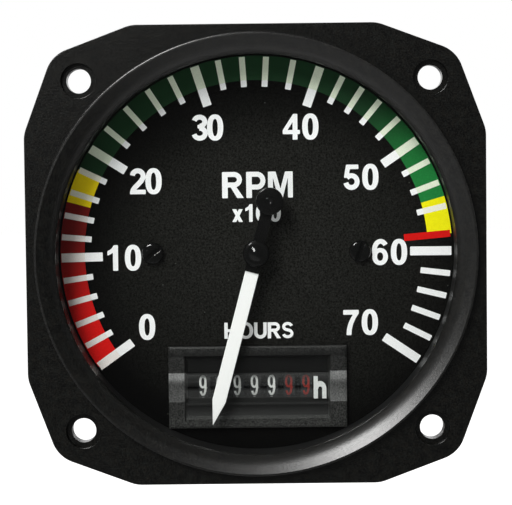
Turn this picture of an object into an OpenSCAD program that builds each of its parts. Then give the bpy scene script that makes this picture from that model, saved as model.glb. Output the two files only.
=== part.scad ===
// Panel-mounted electric tachometer with a running-hours counter.
// The dial faces -Y and +Z is up. The origin is on the dial axis, in the flange's front face.
// Each module draws in dial coordinates, x to the right, y up and z towards the reader,
// and dial_frame() turns the finished piece into the part's own frame.

/* [Flange] */
// Width of the flange beyond the ring, at the middle of each side
flange_margin = 1.675; // [1:0.005:4]
// Thickness of the flange
flange_t = 4.6; // [3:0.1:6]
// Length of the straight stretch of each flange edge
flange_flat = 43.4; // [34:0.1:48]
// Radius of the blend between a straight stretch and a slanted one
flange_blend_r = 6; // [2:0.5:10]
// Radius of the flange corners, about the mounting holes
corner_r = 6; // [5:0.1:7]
// Distance of each mounting hole from the ring, along the diagonal
hole_land = 4.85; // [4.3:0.01:6]
// Diameter of the mounting holes
hole_d = 4.4; // [3.6:0.1:5]
// Diameter of the recess in front of each mounting hole
hole_recess_d = 6.3; // [5.2:0.1:7]
// Depth of that recess
hole_recess_h = 1.2; // [0.5:0.1:2]

/* [Bezel ring] */
// Step from the case out to the raised ring, which centres the instrument in its panel hole
ring_step = 0.2; // [0:0.05:0.6]
// Height of the ring's crest above the flange
ring_h = 1.9; // [1.5:0.1:2.5]
// Rounding of the ring's outer edge
ring_edge_r = 0.25; // [0.2:0.05:0.6]
// Lap of the ring's lip over the glass
lip_lap = 1.5; // [1:0.1:2.5]
// Depth of the lip's front edge behind the flange face
lip_drop = 0.6; // [0.3:0.1:0.8]
// Thickness of the lip
lip_t = 0.4; // [0.4:0.1:1.2]
// Tilt of the ring's inner slope beside its crest, in degrees
slope_tilt = 27; // [22:1:30]
// Width of the straight part of that slope, before it rolls over into the lip
slope_land = 1.3; // [0.5:0.05:1.5]

/* [Case] */
// Wall of the bezel's skirt, around the glass and the dial
skirt_wall = 1.8; // [1.5:0.1:2.5]
// Length of the skirt behind the dial
skirt_l = 5.2; // [4.4:0.1:8]
// Room between the circuit board and the can's back wall
rear_room = 12.4; // [11:0.1:25]
// Wall of the rear can
can_wall = 2; // [1.5:0.1:3]
// Wall of the can's spigot, which enters the skirt and clamps the dial
spigot_wall = 1.5; // [1:0.1:1.8]
// Length over which the spigot's wall runs on inside the can
spigot_root = 2; // [1:0.5:4]
// Rounding of the can's rear edge
can_edge_r = 1.5; // [0.5:0.1:1.9]
// Number of screws around the skirt
case_screw_count = 3; // [3:1:6]
// Thread diameter of the skirt screws
case_screw_d = 2; // [1.6:0.1:2.5]
// Head diameter of the skirt screws
case_screw_head_d = 3.6; // [3.2:0.1:4]

/* [Glass and dial] */
// Diameter of the gasket, glass, spacer and dial, which share one bore
stack_d = 75; // [67:0.1:84]
// Thickness of the gasket
gasket_t = 0.4; // [0.3:0.1:0.8]
// Radial width of the gasket
gasket_w = 1.2; // [0.8:0.1:1.6]
// Thickness of the cover glass
glass_t = 2; // [1.5:0.1:3]
// Height of the spacer ring between glass and dial
spacer_h = 6.4; // [6:0.1:8]
// Radial width of the spacer ring
spacer_wall = 1.1; // [0.6:0.1:1.2]
// Thickness of the dial plate
dial_t = 1; // [0.8:0.1:1.5]
// Diameter of the hole in the dial for the pointer shaft
dial_hole_d = 4.4; // [3:0.1:5]
// Distance of each dial screw from the dial axis
dial_screw_x = 19.05; // [17:0.05:22]
// Head diameter of the dial screws
dial_screw_head_d = 4; // [3.5:0.1:5]
// Head height of the dial screws
dial_screw_head_h = 1.3; // [1:0.1:1.8]
// Thread diameter of the dial screws and the board screws
pillar_screw_d = 2.4; // [2:0.1:3]
// Width of every screwdriver slot
slot_w = 0.6; // [0.4:0.05:0.8]
// Slant of the left dial screw's slot
slot_angle_left = 37; // [0:1:180]
// Slant of the right dial screw's slot
slot_angle_right = 70; // [0:1:180]

/* [Pointer] */
// Bearing of the pointer at rest, clockwise from the top of the dial
pointer_rest = 195; // [190:0.5:205]
// Distance of the pointer's tip from its pivot
pointer_len = 32.4; // [30:0.1:33]
// Distance of the blade's widest place from the pivot
blade_shoulder = 27.85; // [24:0.05:29]
// Width of the blade at that place
blade_shoulder_w = 2.8; // [2:0.1:3.5]
// Width of the blade where it leaves the hub
blade_root_w = 2.57; // [2:0.01:3]
// Distance from the pivot at which the blade leaves the hub
blade_root = 3.55; // [3:0.05:4.5]
// Thickness of the blade
blade_t = 0.5; // [0.3:0.1:0.7]
// Height of the blade's back above the dial
blade_rise = 3.8; // [3.2:0.1:4]
// Diameter of the hub
hub_d = 4.9; // [4.4:0.1:6]
// Height of the hub's top above the dial
hub_rise = 5.8; // [5.2:0.1:5.9]
// Distance of the counterweight from the pivot
weight_reach = 9.8; // [8:0.1:12]
// Diameter of the counterweight
weight_d = 5; // [4.4:0.1:5.5]
// Thickness of the counterweight
weight_t = 0.9; // [0.8:0.1:1.1]
// Diameter of the rivet that holds the counterweight on the tail
rivet_d = 1.2; // [1:0.1:1.4]
// Width of the tail between hub and counterweight
tail_w = 2.2; // [1.6:0.1:3]

/* [Movement] */
// Diameter of the pointer shaft
shaft_d = 1.2; // [1:0.1:1.5]
// Diameter of the rotor magnet
rotor_d = 10.4; // [9:0.1:11]
// Thickness of the rotor magnet
rotor_t = 4; // [3:0.1:4.5]
// Clearance around the rotor magnet
rotor_room = 0.4; // [0.2:0.1:0.6]
// Wall of the bobbin around the rotor chamber
bobbin_wall = 1; // [0.8:0.1:1.5]
// Width of each half coil
coil_w = 3; // [2:0.1:3.2]
// Space between the halves of a coil, for the bearing post
coil_gap = 3.8; // [3.4:0.1:4.5]
// Depth of each winding
coil_t = 1.5; // [1:0.1:2]
// Diameter of the bearing bush
bush_d = 2.4; // [2:0.1:2.6]
// Wall of the steel shield
shield_wall = 0.6; // [0.4:0.1:1]

/* [Circuit board] */
// Diameter of the pillars between the dial and the circuit board
pillar_d = 6; // [5:0.1:7]
// Clearance between the circuit board and the can's spigot
board_room = 0.5; // [0.3:0.1:1.5]
// Thickness of the circuit board
board_t = 1.6; // [1:0.1:2]

/* [Terminals] */
// Distance between neighbouring terminal studs
stud_pitch = 15; // [13:0.5:18]
// Gap between the terminal studs' shoulders and the regulator
stud_land = 1; // [0.5:0.1:2]
// Thread diameter of the terminal studs
stud_d = 4; // [3:0.5:5]
// Length of the studs behind the can
stud_out = 10; // [9:0.5:14]
// Diameter of the stud shoulders between board and can
stud_shoulder_d = 6.4; // [6:0.1:8]
// Width across the flats of the terminal nuts
nut_w = 7; // [6.5:0.1:8]
// Height of the terminal nuts
nut_h = 3.2; // [2.5:0.1:4]
// Thickness of the terminal washers
washer_t = 0.8; // [0.5:0.1:1.2]

/* [Hours counter] */
// Clearance between the window's lower corners and the spacer ring
window_room = 0.16; // [0.1:0.02:0.6]
// Diameter of the number wheels
wheel_d = 13; // [12:0.1:14.6]
// Width of a number wheel's printed rim
rim_w = 2.1; // [1.8:0.05:2.4]
// Thickness of the toothed disc beside the rim
gear_t = 0.85; // [0.7:0.05:1]
// Play between neighbouring number wheels
wheel_play = 0.2; // [0.1:0.05:0.3]
// Diameter of the shaft that carries the number wheels
counter_shaft_d = 1.8; // [1.4:0.1:2.2]
// Wall of the counter housing
counter_wall = 0.55; // [0.4:0.05:0.7]
// Room inside the housing to the left of the number wheels
room_left = 3.3; // [2.5:0.1:3.6]
// Room inside the housing to the right of the number wheels
room_right = 3.15; // [3.1:0.05:3.4]
// Lap of the window over the dial, above and below the housing
window_lap = 0.32; // [0.1:0.02:0.4]
// Lap of the window over the dial, at the housing's ends
window_end_lap = 1.6; // [0.8:0.1:1.7]
// Height of the window above the dial
window_rise = 1.3; // [0.8:0.1:1.5]
// Height of the slot through which the numbers are read
slot_h = 5.5; // [4:0.1:5.8]
// Width of the mask at each end of that slot
mask_end = 0.95; // [0.5:0.05:1.5]
// Thickness of the black mask
mask_t = 0.5; // [0.3:0.1:0.8]
// Distance between the mask and the number wheels
mask_gap = 1; // [0.6:0.1:1.2]

/* [Hidden] */

$fn = 64;

// Clearance between parts that slide together and then stay put
fit_gap = 0.1;
// Radial clearance of every shaft that turns
run_gap = 0.05;
// Clearance of a pressed or soldered pin in its hole
pin_gap = 0.02;
// Extra length of a cutting tool beyond the face that it cuts
cut = 1;
// Depth to which shapes that make up one piece run into each other
weld = 0.1;

black_metal = [0.07, 0.07, 0.07];
black_plastic = [0.09, 0.09, 0.09];
brass = [0.78, 0.62, 0.28];
steel = [0.62, 0.63, 0.65];
nylon = [0.86, 0.84, 0.78];
copper = [0.72, 0.38, 0.16];
board_green = [0.08, 0.32, 0.16];
white_paint = [0.94, 0.94, 0.92];
clear = [0.85, 0.9, 0.92, 0.35];

stack_r = stack_d / 2;
bore_r = stack_r + fit_gap;
lip_r = stack_r - lip_lap;
case_r = bore_r + skirt_wall;
can_r = case_r - can_wall;
ring_r = case_r + ring_step;
spigot_r = stack_r - spigot_wall;
board_r = spigot_r - board_room;

// Planes of the stack, from the flange face back
lip_back = -(lip_drop + lip_t);
glass_front = lip_back - gasket_t;
glass_back = glass_front - glass_t;
dial_front = glass_back - spacer_h;
dial_back = dial_front - dial_t;
skirt_back = dial_back - skirt_l;

// Sizes of the hours counter, whose depth sets the place of the circuit board

wheel_r = wheel_d / 2;
wheel_count = 7;
// Clearance between the number wheels and the housing
wheel_room = 0.15;
wheel_pitch = rim_w + gear_t + wheel_play;
inner_w = room_left + wheel_count * wheel_pitch + room_right;
inner_h = wheel_d + 2 * wheel_room;
housing_w = inner_w + 2 * counter_wall;
housing_h = inner_h + 2 * counter_wall;
window_w = housing_w + 2 * window_end_lap;
window_h = housing_h + 2 * window_lap;
slot_len = inner_w - 2 * mask_end;
counter_drop = sqrt(pow(stack_r - spacer_wall - window_room, 2) - pow(window_w / 2, 2)) - window_h / 2;
axis_z = dial_front - mask_t - mask_gap - wheel_r;
bank_left = room_left - inner_w / 2;
last_rim_right = bank_left + (wheel_count - 1) * wheel_pitch + rim_w;

// Gear sizes: the carry gears and pinions, the driven gear and its pinion, the reduction pair
carry_teeth = 20;
pinion_teeth = 8;
driven_teeth = 40;
reduction_teeth = 24;
carry_module = 0.52;
driven_module = 0.26;
reduction_module = 0.2;
carry_distance = carry_module * (carry_teeth + pinion_teeth) / 2;
driven_distance = driven_module * (driven_teeth + pinion_teeth) / 2;
reduction_distance = reduction_module * (reduction_teeth + pinion_teeth) / 2;
// Bearing of the reduction gear from the wheel shaft, measured from straight back towards the top
reduction_bearing = 30;
reduction_place = driven_distance * [cos(reduction_bearing), sin(reduction_bearing)];
rotor_place = reduction_place + [reduction_distance, 0];
pinion_shaft_d = 1;
gear_axle_d = 0.8;
rotor_axle_d = 0.6;
// Play of a carry pinion on each side, between two number wheels
pinion_play = 0.225;
pinion_t = gear_t + wheel_play - 2 * pinion_play;

// Places along the axles, measured from the right side of the last rim
driven_pinion_from = 0.15;
reduction_from = gear_t + 0.3;
reduction_t = 0.6;
rotor_from = reduction_from + reduction_t + 0.25;
rotor_l = 1.2;
stator_t = 0.7;
motor_magnet_d = 2.8;
// Air gap around the motor's magnet, and width of the stator's ring around that gap
motor_gap = 0.3;
stator_rim = 0.9;
stator_ring_d = motor_magnet_d + 2 * (motor_gap + stator_rim);
// Room between the stator and the housing's back wall
motor_room = 0.45;
// Height of the housing's feet
foot_h = 2;
housing_back = axis_z - rotor_place[0] - stator_ring_d / 2 - motor_room - counter_wall;

// Planes behind the counter
board_front = housing_back - foot_h;
board_back = board_front - board_t;
wall_front = board_back - rear_room;
wall_back = wall_front - can_wall;

module dial_frame() {
    rotate([90, 0, 0]) children();
}

// A plate from z = top down by its thickness
module plate(top, t) {
    translate([0, 0, top - t]) linear_extrude(t) children();
}

// A round bar from z = low to z = high
module rod(d, low, high) {
    translate([0, 0, low]) cylinder(d = d, h = high - low);
}

module tube(outer_d, inner_d, low, high) {
    difference() {
        rod(outer_d, low, high);
        rod(inner_d, low - cut, high + cut);
    }
}

// A box centred on x and y, from z = low to z = high
module block(w, h, low, high) {
    translate([-w / 2, -h / 2, low]) cube([w, h, high - low]);
}

module at_each(places) {
    for (p = places) translate([p[0], p[1], 0]) children();
}

function arc_points(centre, r, from, to, steps) = [
    for (i = [0 : steps]) let (a = from + (to - from) * i / steps) centre + r * [cos(a), sin(a)]
];

// Flange and bezel ring

flange_half = ring_r + flange_margin;
hole_at = (ring_r + hole_land) / sqrt(2);
edge_end = [flange_half, flange_flat / 2];
corner_mid = [hole_at, hole_at];
to_corner = corner_mid - edge_end;
// The slanted edge leaves the straight one at slant and meets the corner's arc as a tangent
slant = atan2(-to_corner[0], to_corner[1]) - asin(corner_r / norm(to_corner));
blend_mid = edge_end - flange_blend_r * [1, tan(slant / 2)];
corner_start = corner_mid + corner_r * [cos(slant), sin(slant)];

corner_holes = [for (x = [-1, 1], y = [-1, 1]) hole_at * [x, y]];

// One side of the outline: a blend, a corner and the next blend, before its turn to the next side
side_points = concat(
    arc_points(blend_mid, flange_blend_r, 0, slant, 4),
    arc_points(corner_mid, corner_r, slant, 90 - slant, 16),
    arc_points([blend_mid[1], blend_mid[0]], flange_blend_r, 90 - slant, 90, 4)
);

module flange_outline() {
    polygon([
        for (turn = [0 : 90 : 270], p = side_points)
            [p[0] * cos(turn) - p[1] * sin(turn), p[0] * sin(turn) + p[1] * cos(turn)]
    ]);
}

// The ring's inner slope is straight beside its crest, then rolls over into the lip
crest = [ring_r - ring_edge_r, ring_h];
lip_edge = [lip_r, -lip_drop];
roll_start = crest - slope_land * [1, tan(slope_tilt)];
roll_chord = roll_start - lip_edge;
roll_bend = atan2(roll_chord[1], roll_chord[0]) - slope_tilt;
roll_r = norm(roll_chord) / (2 * sin(roll_bend));
roll_mid = roll_start + roll_r * [sin(slope_tilt), -cos(slope_tilt)];

// Depth to which the ring runs down inside the flange
ring_root = flange_t / 4;

module bezel_profile() {
    polygon(concat(
        [[case_r, skirt_back], [case_r, -ring_root], [ring_r, -ring_root]],
        arc_points([ring_r - ring_edge_r, ring_h - ring_edge_r], ring_edge_r, 0, 90, 5),
        arc_points(roll_mid, roll_r, 90 + slope_tilt, 90 + slope_tilt + 2 * roll_bend, 10),
        [[lip_r, lip_back], [bore_r, lip_back], [bore_r, skirt_back]]
    ));
}

module bezel_flange() {
    flange_bore_r = (bore_r + case_r) / 2;
    color(black_metal) dial_frame() difference() {
        union() {
            rotate_extrude($fn = 128) bezel_profile();
            difference() {
                plate(0, flange_t) flange_outline();
                rod(2 * flange_bore_r, -flange_t - cut, cut);
            }
        }
        at_each(corner_holes) {
            rod(hole_d, -flange_t - cut, cut);
            rod(hole_recess_d, -hole_recess_h, cut);
        }
        each_case_screw() case_screw_cut();
    }
}

// Screws around the skirt

case_screw_z = (dial_back + skirt_back) / 2;
case_screw_sink = (case_screw_head_d - case_screw_d) / 2;
// Distance of the screw heads below the skirt's surface
head_set = 0.25;

module each_case_screw() {
    for (i = [0 : case_screw_count - 1])
        rotate([0, 0, 90 + 360 * i / case_screw_count])
            translate([0, 0, case_screw_z]) rotate([0, 90, 0]) children();
}

// A flat-headed screw whose head lies at z = case_r and whose end points to the dial axis
module case_screw_body(grow) {
    head_top = case_r - head_set;
    inner_end = spigot_r + fit_gap - grow;
    rod(case_screw_d + 2 * grow, inner_end, head_top);
    translate([0, 0, head_top - case_screw_sink])
        cylinder(d1 = case_screw_d + 2 * grow, d2 = case_screw_head_d + 2 * grow, h = case_screw_sink);
}

module case_screw_cut() {
    case_screw_body(pin_gap);
    rod(case_screw_head_d + 2 * pin_gap, case_r - head_set, case_r + cut);
}

module case_screws() {
    color(steel) dial_frame() each_case_screw() difference() {
        case_screw_body(0);
        block(case_screw_head_d + cut, slot_w, case_r - head_set - slot_w, case_r + cut);
    }
}

// Glass, spacer and dial

module glass_gasket() {
    color(black_plastic) dial_frame() tube(stack_d, stack_d - 2 * gasket_w, glass_front, lip_back);
}

module cover_glass() {
    color(clear) dial_frame() rod(stack_d, glass_back, glass_front, $fn = 128);
}

module spacer_ring() {
    color(black_plastic) dial_frame() tube(stack_d, stack_d - 2 * spacer_wall, dial_front, glass_back);
}

screw_places = [[-dial_screw_x, 0], [dial_screw_x, 0]];
pillar_screw_hole_d = pillar_screw_d + 2 * fit_gap;

module dial_plate() {
    color(black_plastic) dial_frame() difference() {
        rod(stack_d, dial_back, dial_front, $fn = 128);
        rod(dial_hole_d, dial_back - cut, dial_front + cut);
        at_each(screw_places) rod(pillar_screw_hole_d, dial_back - cut, dial_front + cut);
        translate([0, -counter_drop, 0])
            block(housing_w + 2 * fit_gap, housing_h + 2 * fit_gap, dial_back - cut, dial_front + cut);
    }
}

// Length of a screw's thread inside a pillar
screw_bite = 5;

// A round-headed slotted screw that stands on z = 0 and points down
module pillar_screw(grip, slot_angle) {
    head_curve_r = (pow(dial_screw_head_d / 2, 2) + pow(dial_screw_head_h, 2)) / (2 * dial_screw_head_h);
    rod(pillar_screw_d, -grip - screw_bite, weld);
    difference() {
        intersection() {
            rod(dial_screw_head_d, 0, dial_screw_head_h);
            translate([0, 0, dial_screw_head_h - head_curve_r * 1.15]) sphere(r = head_curve_r * 1.15);
        }
        rotate([0, 0, slot_angle])
            block(dial_screw_head_d + cut, slot_w, dial_screw_head_h / 2, dial_screw_head_h + cut);
    }
}

module dial_screws() {
    angles = [slot_angle_left, slot_angle_right];
    color(black_metal) dial_frame() for (i = [0, 1])
        translate([screw_places[i][0], screw_places[i][1], dial_front]) pillar_screw(dial_t, angles[i]);
}

// Rear can

module can_profile() {
    edge_mid = [case_r - can_edge_r, wall_back + can_edge_r];
    polygon(concat(
        [[0, wall_front], [can_r, wall_front], [can_r, skirt_back - spigot_root - (can_r - spigot_r)]],
        [[spigot_r, skirt_back - spigot_root], [spigot_r, dial_back], [stack_r, dial_back]],
        [[stack_r, skirt_back], [case_r, skirt_back]],
        arc_points(edge_mid, can_edge_r, 0, -90, 5),
        [[0, wall_back]]
    ));
}

regulator_w = 10;
regulator_tab_l = 14.5;
regulator_tab_t = 1.3;
regulator_hole_d = 3.6;
regulator_body_l = 8.5;
regulator_body_t = 4.4;
// Distance between the regulator's tab and the board's edge
regulator_inset = 2.8;
regulator_y = board_r - regulator_inset - regulator_tab_l;

stud_y = regulator_y - stud_land - stud_shoulder_d / 2;
stud_places = [for (i = [-1 : 1]) [i * stud_pitch, stud_y]];

module rear_can() {
    color(black_plastic) dial_frame() difference() {
        rotate_extrude($fn = 128) can_profile();
        each_case_screw() case_screw_cut();
        at_each(stud_places) rod(stud_d + 2 * fit_gap, wall_back - cut, wall_front + cut);
    }
}

// Pillars and circuit board

module support_pillars() {
    color(brass) dial_frame() at_each(screw_places) difference() {
        rod(pillar_d, board_front, dial_back);
        rod(pillar_screw_d + 2 * pin_gap, board_front - cut, board_front + screw_bite + cut);
        rod(pillar_screw_d + 2 * pin_gap, dial_back - screw_bite - cut, dial_back + cut);
    }
}

module board_screws() {
    color(steel) dial_frame() at_each(screw_places)
        translate([0, 0, board_back]) mirror([0, 0, 1]) pillar_screw(board_t, slot_angle_left);
}

// Diameter of the soldered pins under the movement and the counter
pin_d = 0.7;
// Distance by which a soldered pin stands out behind the board
pin_out = 1;
// Diameter of the studs' soldered tails
stud_tail_d = 2;

module board_pin_hole(d) {
    rod(d + 2 * pin_gap, board_back - cut, board_front + cut);
}

module circuit_board() {
    color(board_green) dial_frame() difference() {
        rod(2 * board_r, board_back, board_front, $fn = 128);
        at_each(screw_places) board_pin_hole(pillar_screw_hole_d);
        at_each(stud_places) board_pin_hole(stud_tail_d);
        at_each(movement_pin_places) board_pin_hole(pin_d);
        translate([0, -counter_drop, 0]) at_each(counter_pin_places) board_pin_hole(pin_d);
    }
}

// A component stands on the board's back and grows away from the dial
module on_board(x, y) {
    translate([x, y, board_back]) mirror([0, 0, 1]) children();
}

// A place on the board, given by its distance from the edge and its bearing from the right
function from_edge(inset, bearing) = (board_r - inset) * [cos(bearing), sin(bearing)];

chip_l = 19.2;
chip_w = 6.4;
chip_h = 3.3;
chip_stand = 0.6;
chip_leg_t = 0.5;
chip_legs = 8;
chip_notch_d = 1.6;
lead_pitch = 2.54;
chip_drop = 12;

module driver_chip() {
    chip_top = chip_stand + chip_h;
    color(black_plastic) dial_frame() on_board(0, -chip_drop) {
        difference() {
            block(chip_l, chip_w, chip_stand, chip_top);
            translate([-chip_l / 2, 0, 0]) rod(chip_notch_d, chip_top - chip_leg_t, chip_top + cut);
        }
        for (i = [0 : chip_legs - 1], side = [-1, 1])
            translate([lead_pitch * (i - (chip_legs - 1) / 2), side * (chip_w + chip_leg_t) / 2, 0])
                block(chip_leg_t, chip_leg_t + weld, 0, chip_stand + chip_h / 2);
    }
}

module regulator() {
    tab_t = regulator_tab_t;
    color(black_plastic) dial_frame() on_board(0, regulator_y) {
        difference() {
            translate([-regulator_w / 2, 0, 0]) cube([regulator_w, regulator_tab_l, tab_t]);
            translate([0, regulator_tab_l - regulator_hole_d, 0]) rod(regulator_hole_d, -cut, tab_t + cut);
        }
        translate([-regulator_w / 2, 0, tab_t / 2])
            cube([regulator_w, regulator_body_l, regulator_body_t - tab_t / 2]);
    }
}

capacitor_d = 8;
capacitor_h = 9.5;
capacitor_base_w = 8.4;
capacitor_base_h = 1.2;
// Depth and height of the groove rolled into each capacitor's can
capacitor_groove = 0.4;
capacitor_groove_h = 1;
capacitor_inset = 5.5;
capacitor_places = [for (bearing = [-8, 188]) from_edge(capacitor_inset, bearing)];

module filter_capacitors() {
    groove_from = capacitor_base_h + capacitor_groove_h;
    groove_to = groove_from + capacitor_groove_h;
    color(steel) dial_frame() for (p = capacitor_places) on_board(p[0], p[1]) {
        block(capacitor_base_w, capacitor_base_w, 0, capacitor_base_h);
        rod(capacitor_d, capacitor_base_h, groove_from);
        rod(capacitor_d - 2 * capacitor_groove, groove_from, groove_to);
        rod(capacitor_d, groove_to, capacitor_h);
    }
}

trimmer_w = 6.6;
trimmer_h = 4.8;
trimmer_screw_d = 3.4;
trimmer_screw_h = 0.5;
// Gap between the driver chip and the trimmers beside it
trimmer_gap = 5.1;
trimmer_x = chip_l / 2 + trimmer_gap + trimmer_w / 2;
trimmer_places = [[-trimmer_x, -chip_drop], [trimmer_x, -chip_drop]];

module trim_potentiometers() {
    color([0.1, 0.25, 0.6]) dial_frame() for (p = trimmer_places) on_board(p[0], p[1]) {
        block(trimmer_w, trimmer_w, 0, trimmer_h);
        difference() {
            rod(trimmer_screw_d, trimmer_h - weld, trimmer_h + trimmer_screw_h);
            block(trimmer_screw_d + cut, slot_w, trimmer_h, trimmer_h + cut);
        }
    }
}

resistor_d = 2.3;
resistor_l = 6.3;
resistor_end_d = 2.6;
resistor_end_l = 1.4;
resistor_lead_d = 0.6;
resistor_foot_d = 0.5;
resistor_span = 10.2;
resistor_inset = 7.5;
resistor_bearings = [6, 15, 24, 156, 165, 174];

// The resistors lie along radii of the board, near its edge
module resistors() {
    color([0.75, 0.65, 0.48]) dial_frame() for (bearing = resistor_bearings) {
        p = from_edge(resistor_inset, bearing);
        on_board(p[0], p[1]) rotate([0, 0, bearing]) translate([0, 0, resistor_end_d / 2]) {
            rotate([0, 90, 0]) rotate_extrude() {
                translate([0, -resistor_l / 2]) square([resistor_d / 2, resistor_l]);
                translate([0, -resistor_span / 2]) square([resistor_lead_d / 2, resistor_span]);
                for (from = [-resistor_l / 2, resistor_l / 2 - resistor_end_l])
                    translate([0, from]) square([resistor_end_d / 2, resistor_end_l]);
            }
            for (side = [-1, 1])
                translate([side * (resistor_span - resistor_lead_d) / 2, 0, 0])
                    rod(resistor_foot_d, -resistor_end_d / 2, 0);
        }
    }
}

// Terminals

// Length of the studs' tails in front of the board
stud_tail_out = 0.6;
stud_chamfer = 0.5;
// Width of the washers beyond the nuts' flats
washer_rim = 0.8;

module terminal_studs() {
    color(brass) dial_frame() at_each(stud_places) {
        rod(stud_tail_d, board_back - weld, board_front + stud_tail_out);
        rod(stud_shoulder_d, wall_front, board_back);
        rod(stud_d, wall_back - stud_out + stud_chamfer, wall_front + weld);
        translate([0, 0, wall_back - stud_out])
            cylinder(d1 = stud_d - 2 * stud_chamfer, d2 = stud_d, h = stud_chamfer);
    }
}

module terminal_washers() {
    washer_d = nut_w + 2 * washer_rim;
    color(brass) dial_frame() at_each(stud_places)
        tube(washer_d, stud_d + 2 * fit_gap, wall_back - washer_t, wall_back);
}

module terminal_nuts() {
    nut_front = wall_back - washer_t;
    corner_d = nut_w / cos(30);
    // The corners are turned down to a cone on the outer side
    cone_h = (corner_d - nut_w) / 2;
    color(brass) dial_frame() at_each(stud_places) translate([0, 0, nut_front - nut_h]) difference() {
        intersection() {
            cylinder(d = corner_d, h = nut_h, $fn = 6);
            union() {
                cylinder(d1 = nut_w, d2 = nut_w + 4 * cone_h, h = cone_h);
                rod(corner_d + cut, cone_h - weld / 2, nut_h + cut);
            }
        }
        rod(stud_d + 2 * pin_gap, -cut, nut_h + cut);
    }
}

// Movement: a magnet on the pointer shaft turns inside two crossed coils

chamber_d = rotor_d + 2 * rotor_room;
core_w = chamber_d + 2 * bobbin_wall;
core_h = rotor_t + 2 * (rotor_room + bobbin_wall);
// Room left under the outer coil and above it
coil_room = 0.4;
core_back = board_front + 2 * coil_t + coil_room;
core_front = core_back + core_h;
core_mid = (core_back + core_front) / 2;
coils_front = core_front + 2 * coil_t;
shield_front = coils_front + coil_room + shield_wall;
// Length of the bearing post in front of the shield, and of the bush in its end
bush_l = 2.5;
post_front = shield_front + bush_l;
post_d = coil_gap - 2 * fit_gap;
corner_from = coil_gap / 2 + coil_w + fit_gap;
corner_w = core_w / 2 - corner_from;
corner_at = (core_w / 2 + corner_from) / 2;
bobbin_corners = [for (x = [-1, 1], y = [-1, 1]) corner_at * [x, y]];
movement_pin_places = bobbin_corners;
coil_outer_half = core_w / 2 + coil_t;
shield_in_r = norm([coil_outer_half, coil_gap / 2 + coil_w]) + coil_room;
bearing_d = shaft_d + 2 * run_gap;
// Room under the shaft's rear end
shaft_end_room = 0.1;
shaft_back = core_back - coil_t;
return_magnet_d = 1.4;
return_magnet_l = 2.4;
return_magnet_at = ((chamber_d + return_magnet_d) / 2 + coil_room) / sqrt(2) * [1, -1];

module rotor_chamber() {
    rod(chamber_d, core_mid - rotor_t / 2 - rotor_room, core_mid + rotor_t / 2 + rotor_room);
}

module bobbin_front() {
    color(nylon) dial_frame() difference() {
        union() {
            block(core_w, core_w, core_mid, core_front);
            rod(post_d, core_front - weld, post_front);
            at_each(bobbin_corners) block(corner_w, corner_w, core_front - weld, shield_front - shield_wall);
        }
        rotor_chamber();
        rod(bearing_d, core_mid, post_front + cut);
        rod(bush_d, post_front - bush_l, post_front + cut);
    }
}

module bobbin_rear() {
    color(nylon) dial_frame() difference() {
        union() {
            block(core_w, core_w, core_back, core_mid);
            rod(post_d, board_front, core_back + weld);
            at_each(bobbin_corners) block(corner_w, corner_w, board_front, core_back + weld);
        }
        rotor_chamber();
        rod(bearing_d, shaft_back - shaft_end_room, core_mid + cut);
        at_each([return_magnet_at])
            rod(return_magnet_d + 2 * pin_gap, core_mid - return_magnet_l, core_mid + cut);
        at_each(movement_pin_places) rod(pin_d + 2 * pin_gap, board_front - cut, core_back);
    }
}

// Width of the bevel where the wire turns around the core
turn_r = 0.8;

// Two half coils beside the shaft, wound around the core along x
module half_coils(inner_front, inner_back) {
    for (side = [-1, 1])
        translate([side * (coil_gap + coil_w) / 2, 0, 0]) difference() {
            block(coil_w, core_w + 2 * coil_t, inner_back - coil_t, inner_front + coil_t);
            block(coil_w + cut, core_w, inner_back, inner_front);
            for (y = [-1, 1], z = [inner_back - coil_t, inner_front + coil_t])
                translate([0, y * coil_outer_half, z]) rotate([45, 0, 0])
                    block(coil_w + cut, turn_r, -turn_r / 2, turn_r / 2);
        }
}

module inner_coil() {
    color(copper) dial_frame() half_coils(core_front, core_back);
}

module outer_coil() {
    color(copper) dial_frame() rotate([0, 0, 90])
        half_coils(core_front + coil_t, core_back - coil_t);
}

module movement_pins() {
    color(steel) dial_frame() at_each(movement_pin_places) rod(pin_d, board_back - pin_out, core_back);
}

module return_magnet() {
    color(steel) dial_frame() at_each([return_magnet_at])
        rod(return_magnet_d, core_mid - return_magnet_l, core_mid - pin_gap);
}

module shaft_bush() {
    color(brass) dial_frame() tube(bush_d, bearing_d, post_front - bush_l, post_front);
}

module movement_shield() {
    shield_d = 2 * shield_in_r;
    color(steel) dial_frame() {
        tube(shield_d + 2 * shield_wall, shield_d, board_front, shield_front - shield_wall / 2);
        tube(shield_d + 2 * shield_wall, post_d + 2 * fit_gap, shield_front - shield_wall, shield_front);
    }
}

// Pointer

blade_back = dial_front + blade_rise;
blade_front = blade_back + blade_t;
// Length of the hub behind the blade
hub_skirt = 1;
hub_back = blade_back - hub_skirt;
hub_front = dial_front + hub_rise;
// Depth of the shaft's end inside the hub's front, and of the countersink around it
shaft_set = 0.6;
hub_sink = 0.3;
// Rounding of the front edges of the hub and of the counterweight
hub_edge_r = 0.6;
weight_edge_r = 0.35;
// Length of the blade's tongue inside the hub's nose
tongue_l = 1;
// Wall of the nose on each side of the tongue
nose_wall = 0.4;
tongue_w = blade_root_w - 2 * nose_wall;
// Depth of the hub's nose above and below the blade
nose_t = 0.3;

module pointer_frame() {
    dial_frame() rotate([0, 0, -pointer_rest]) children();
}

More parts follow.
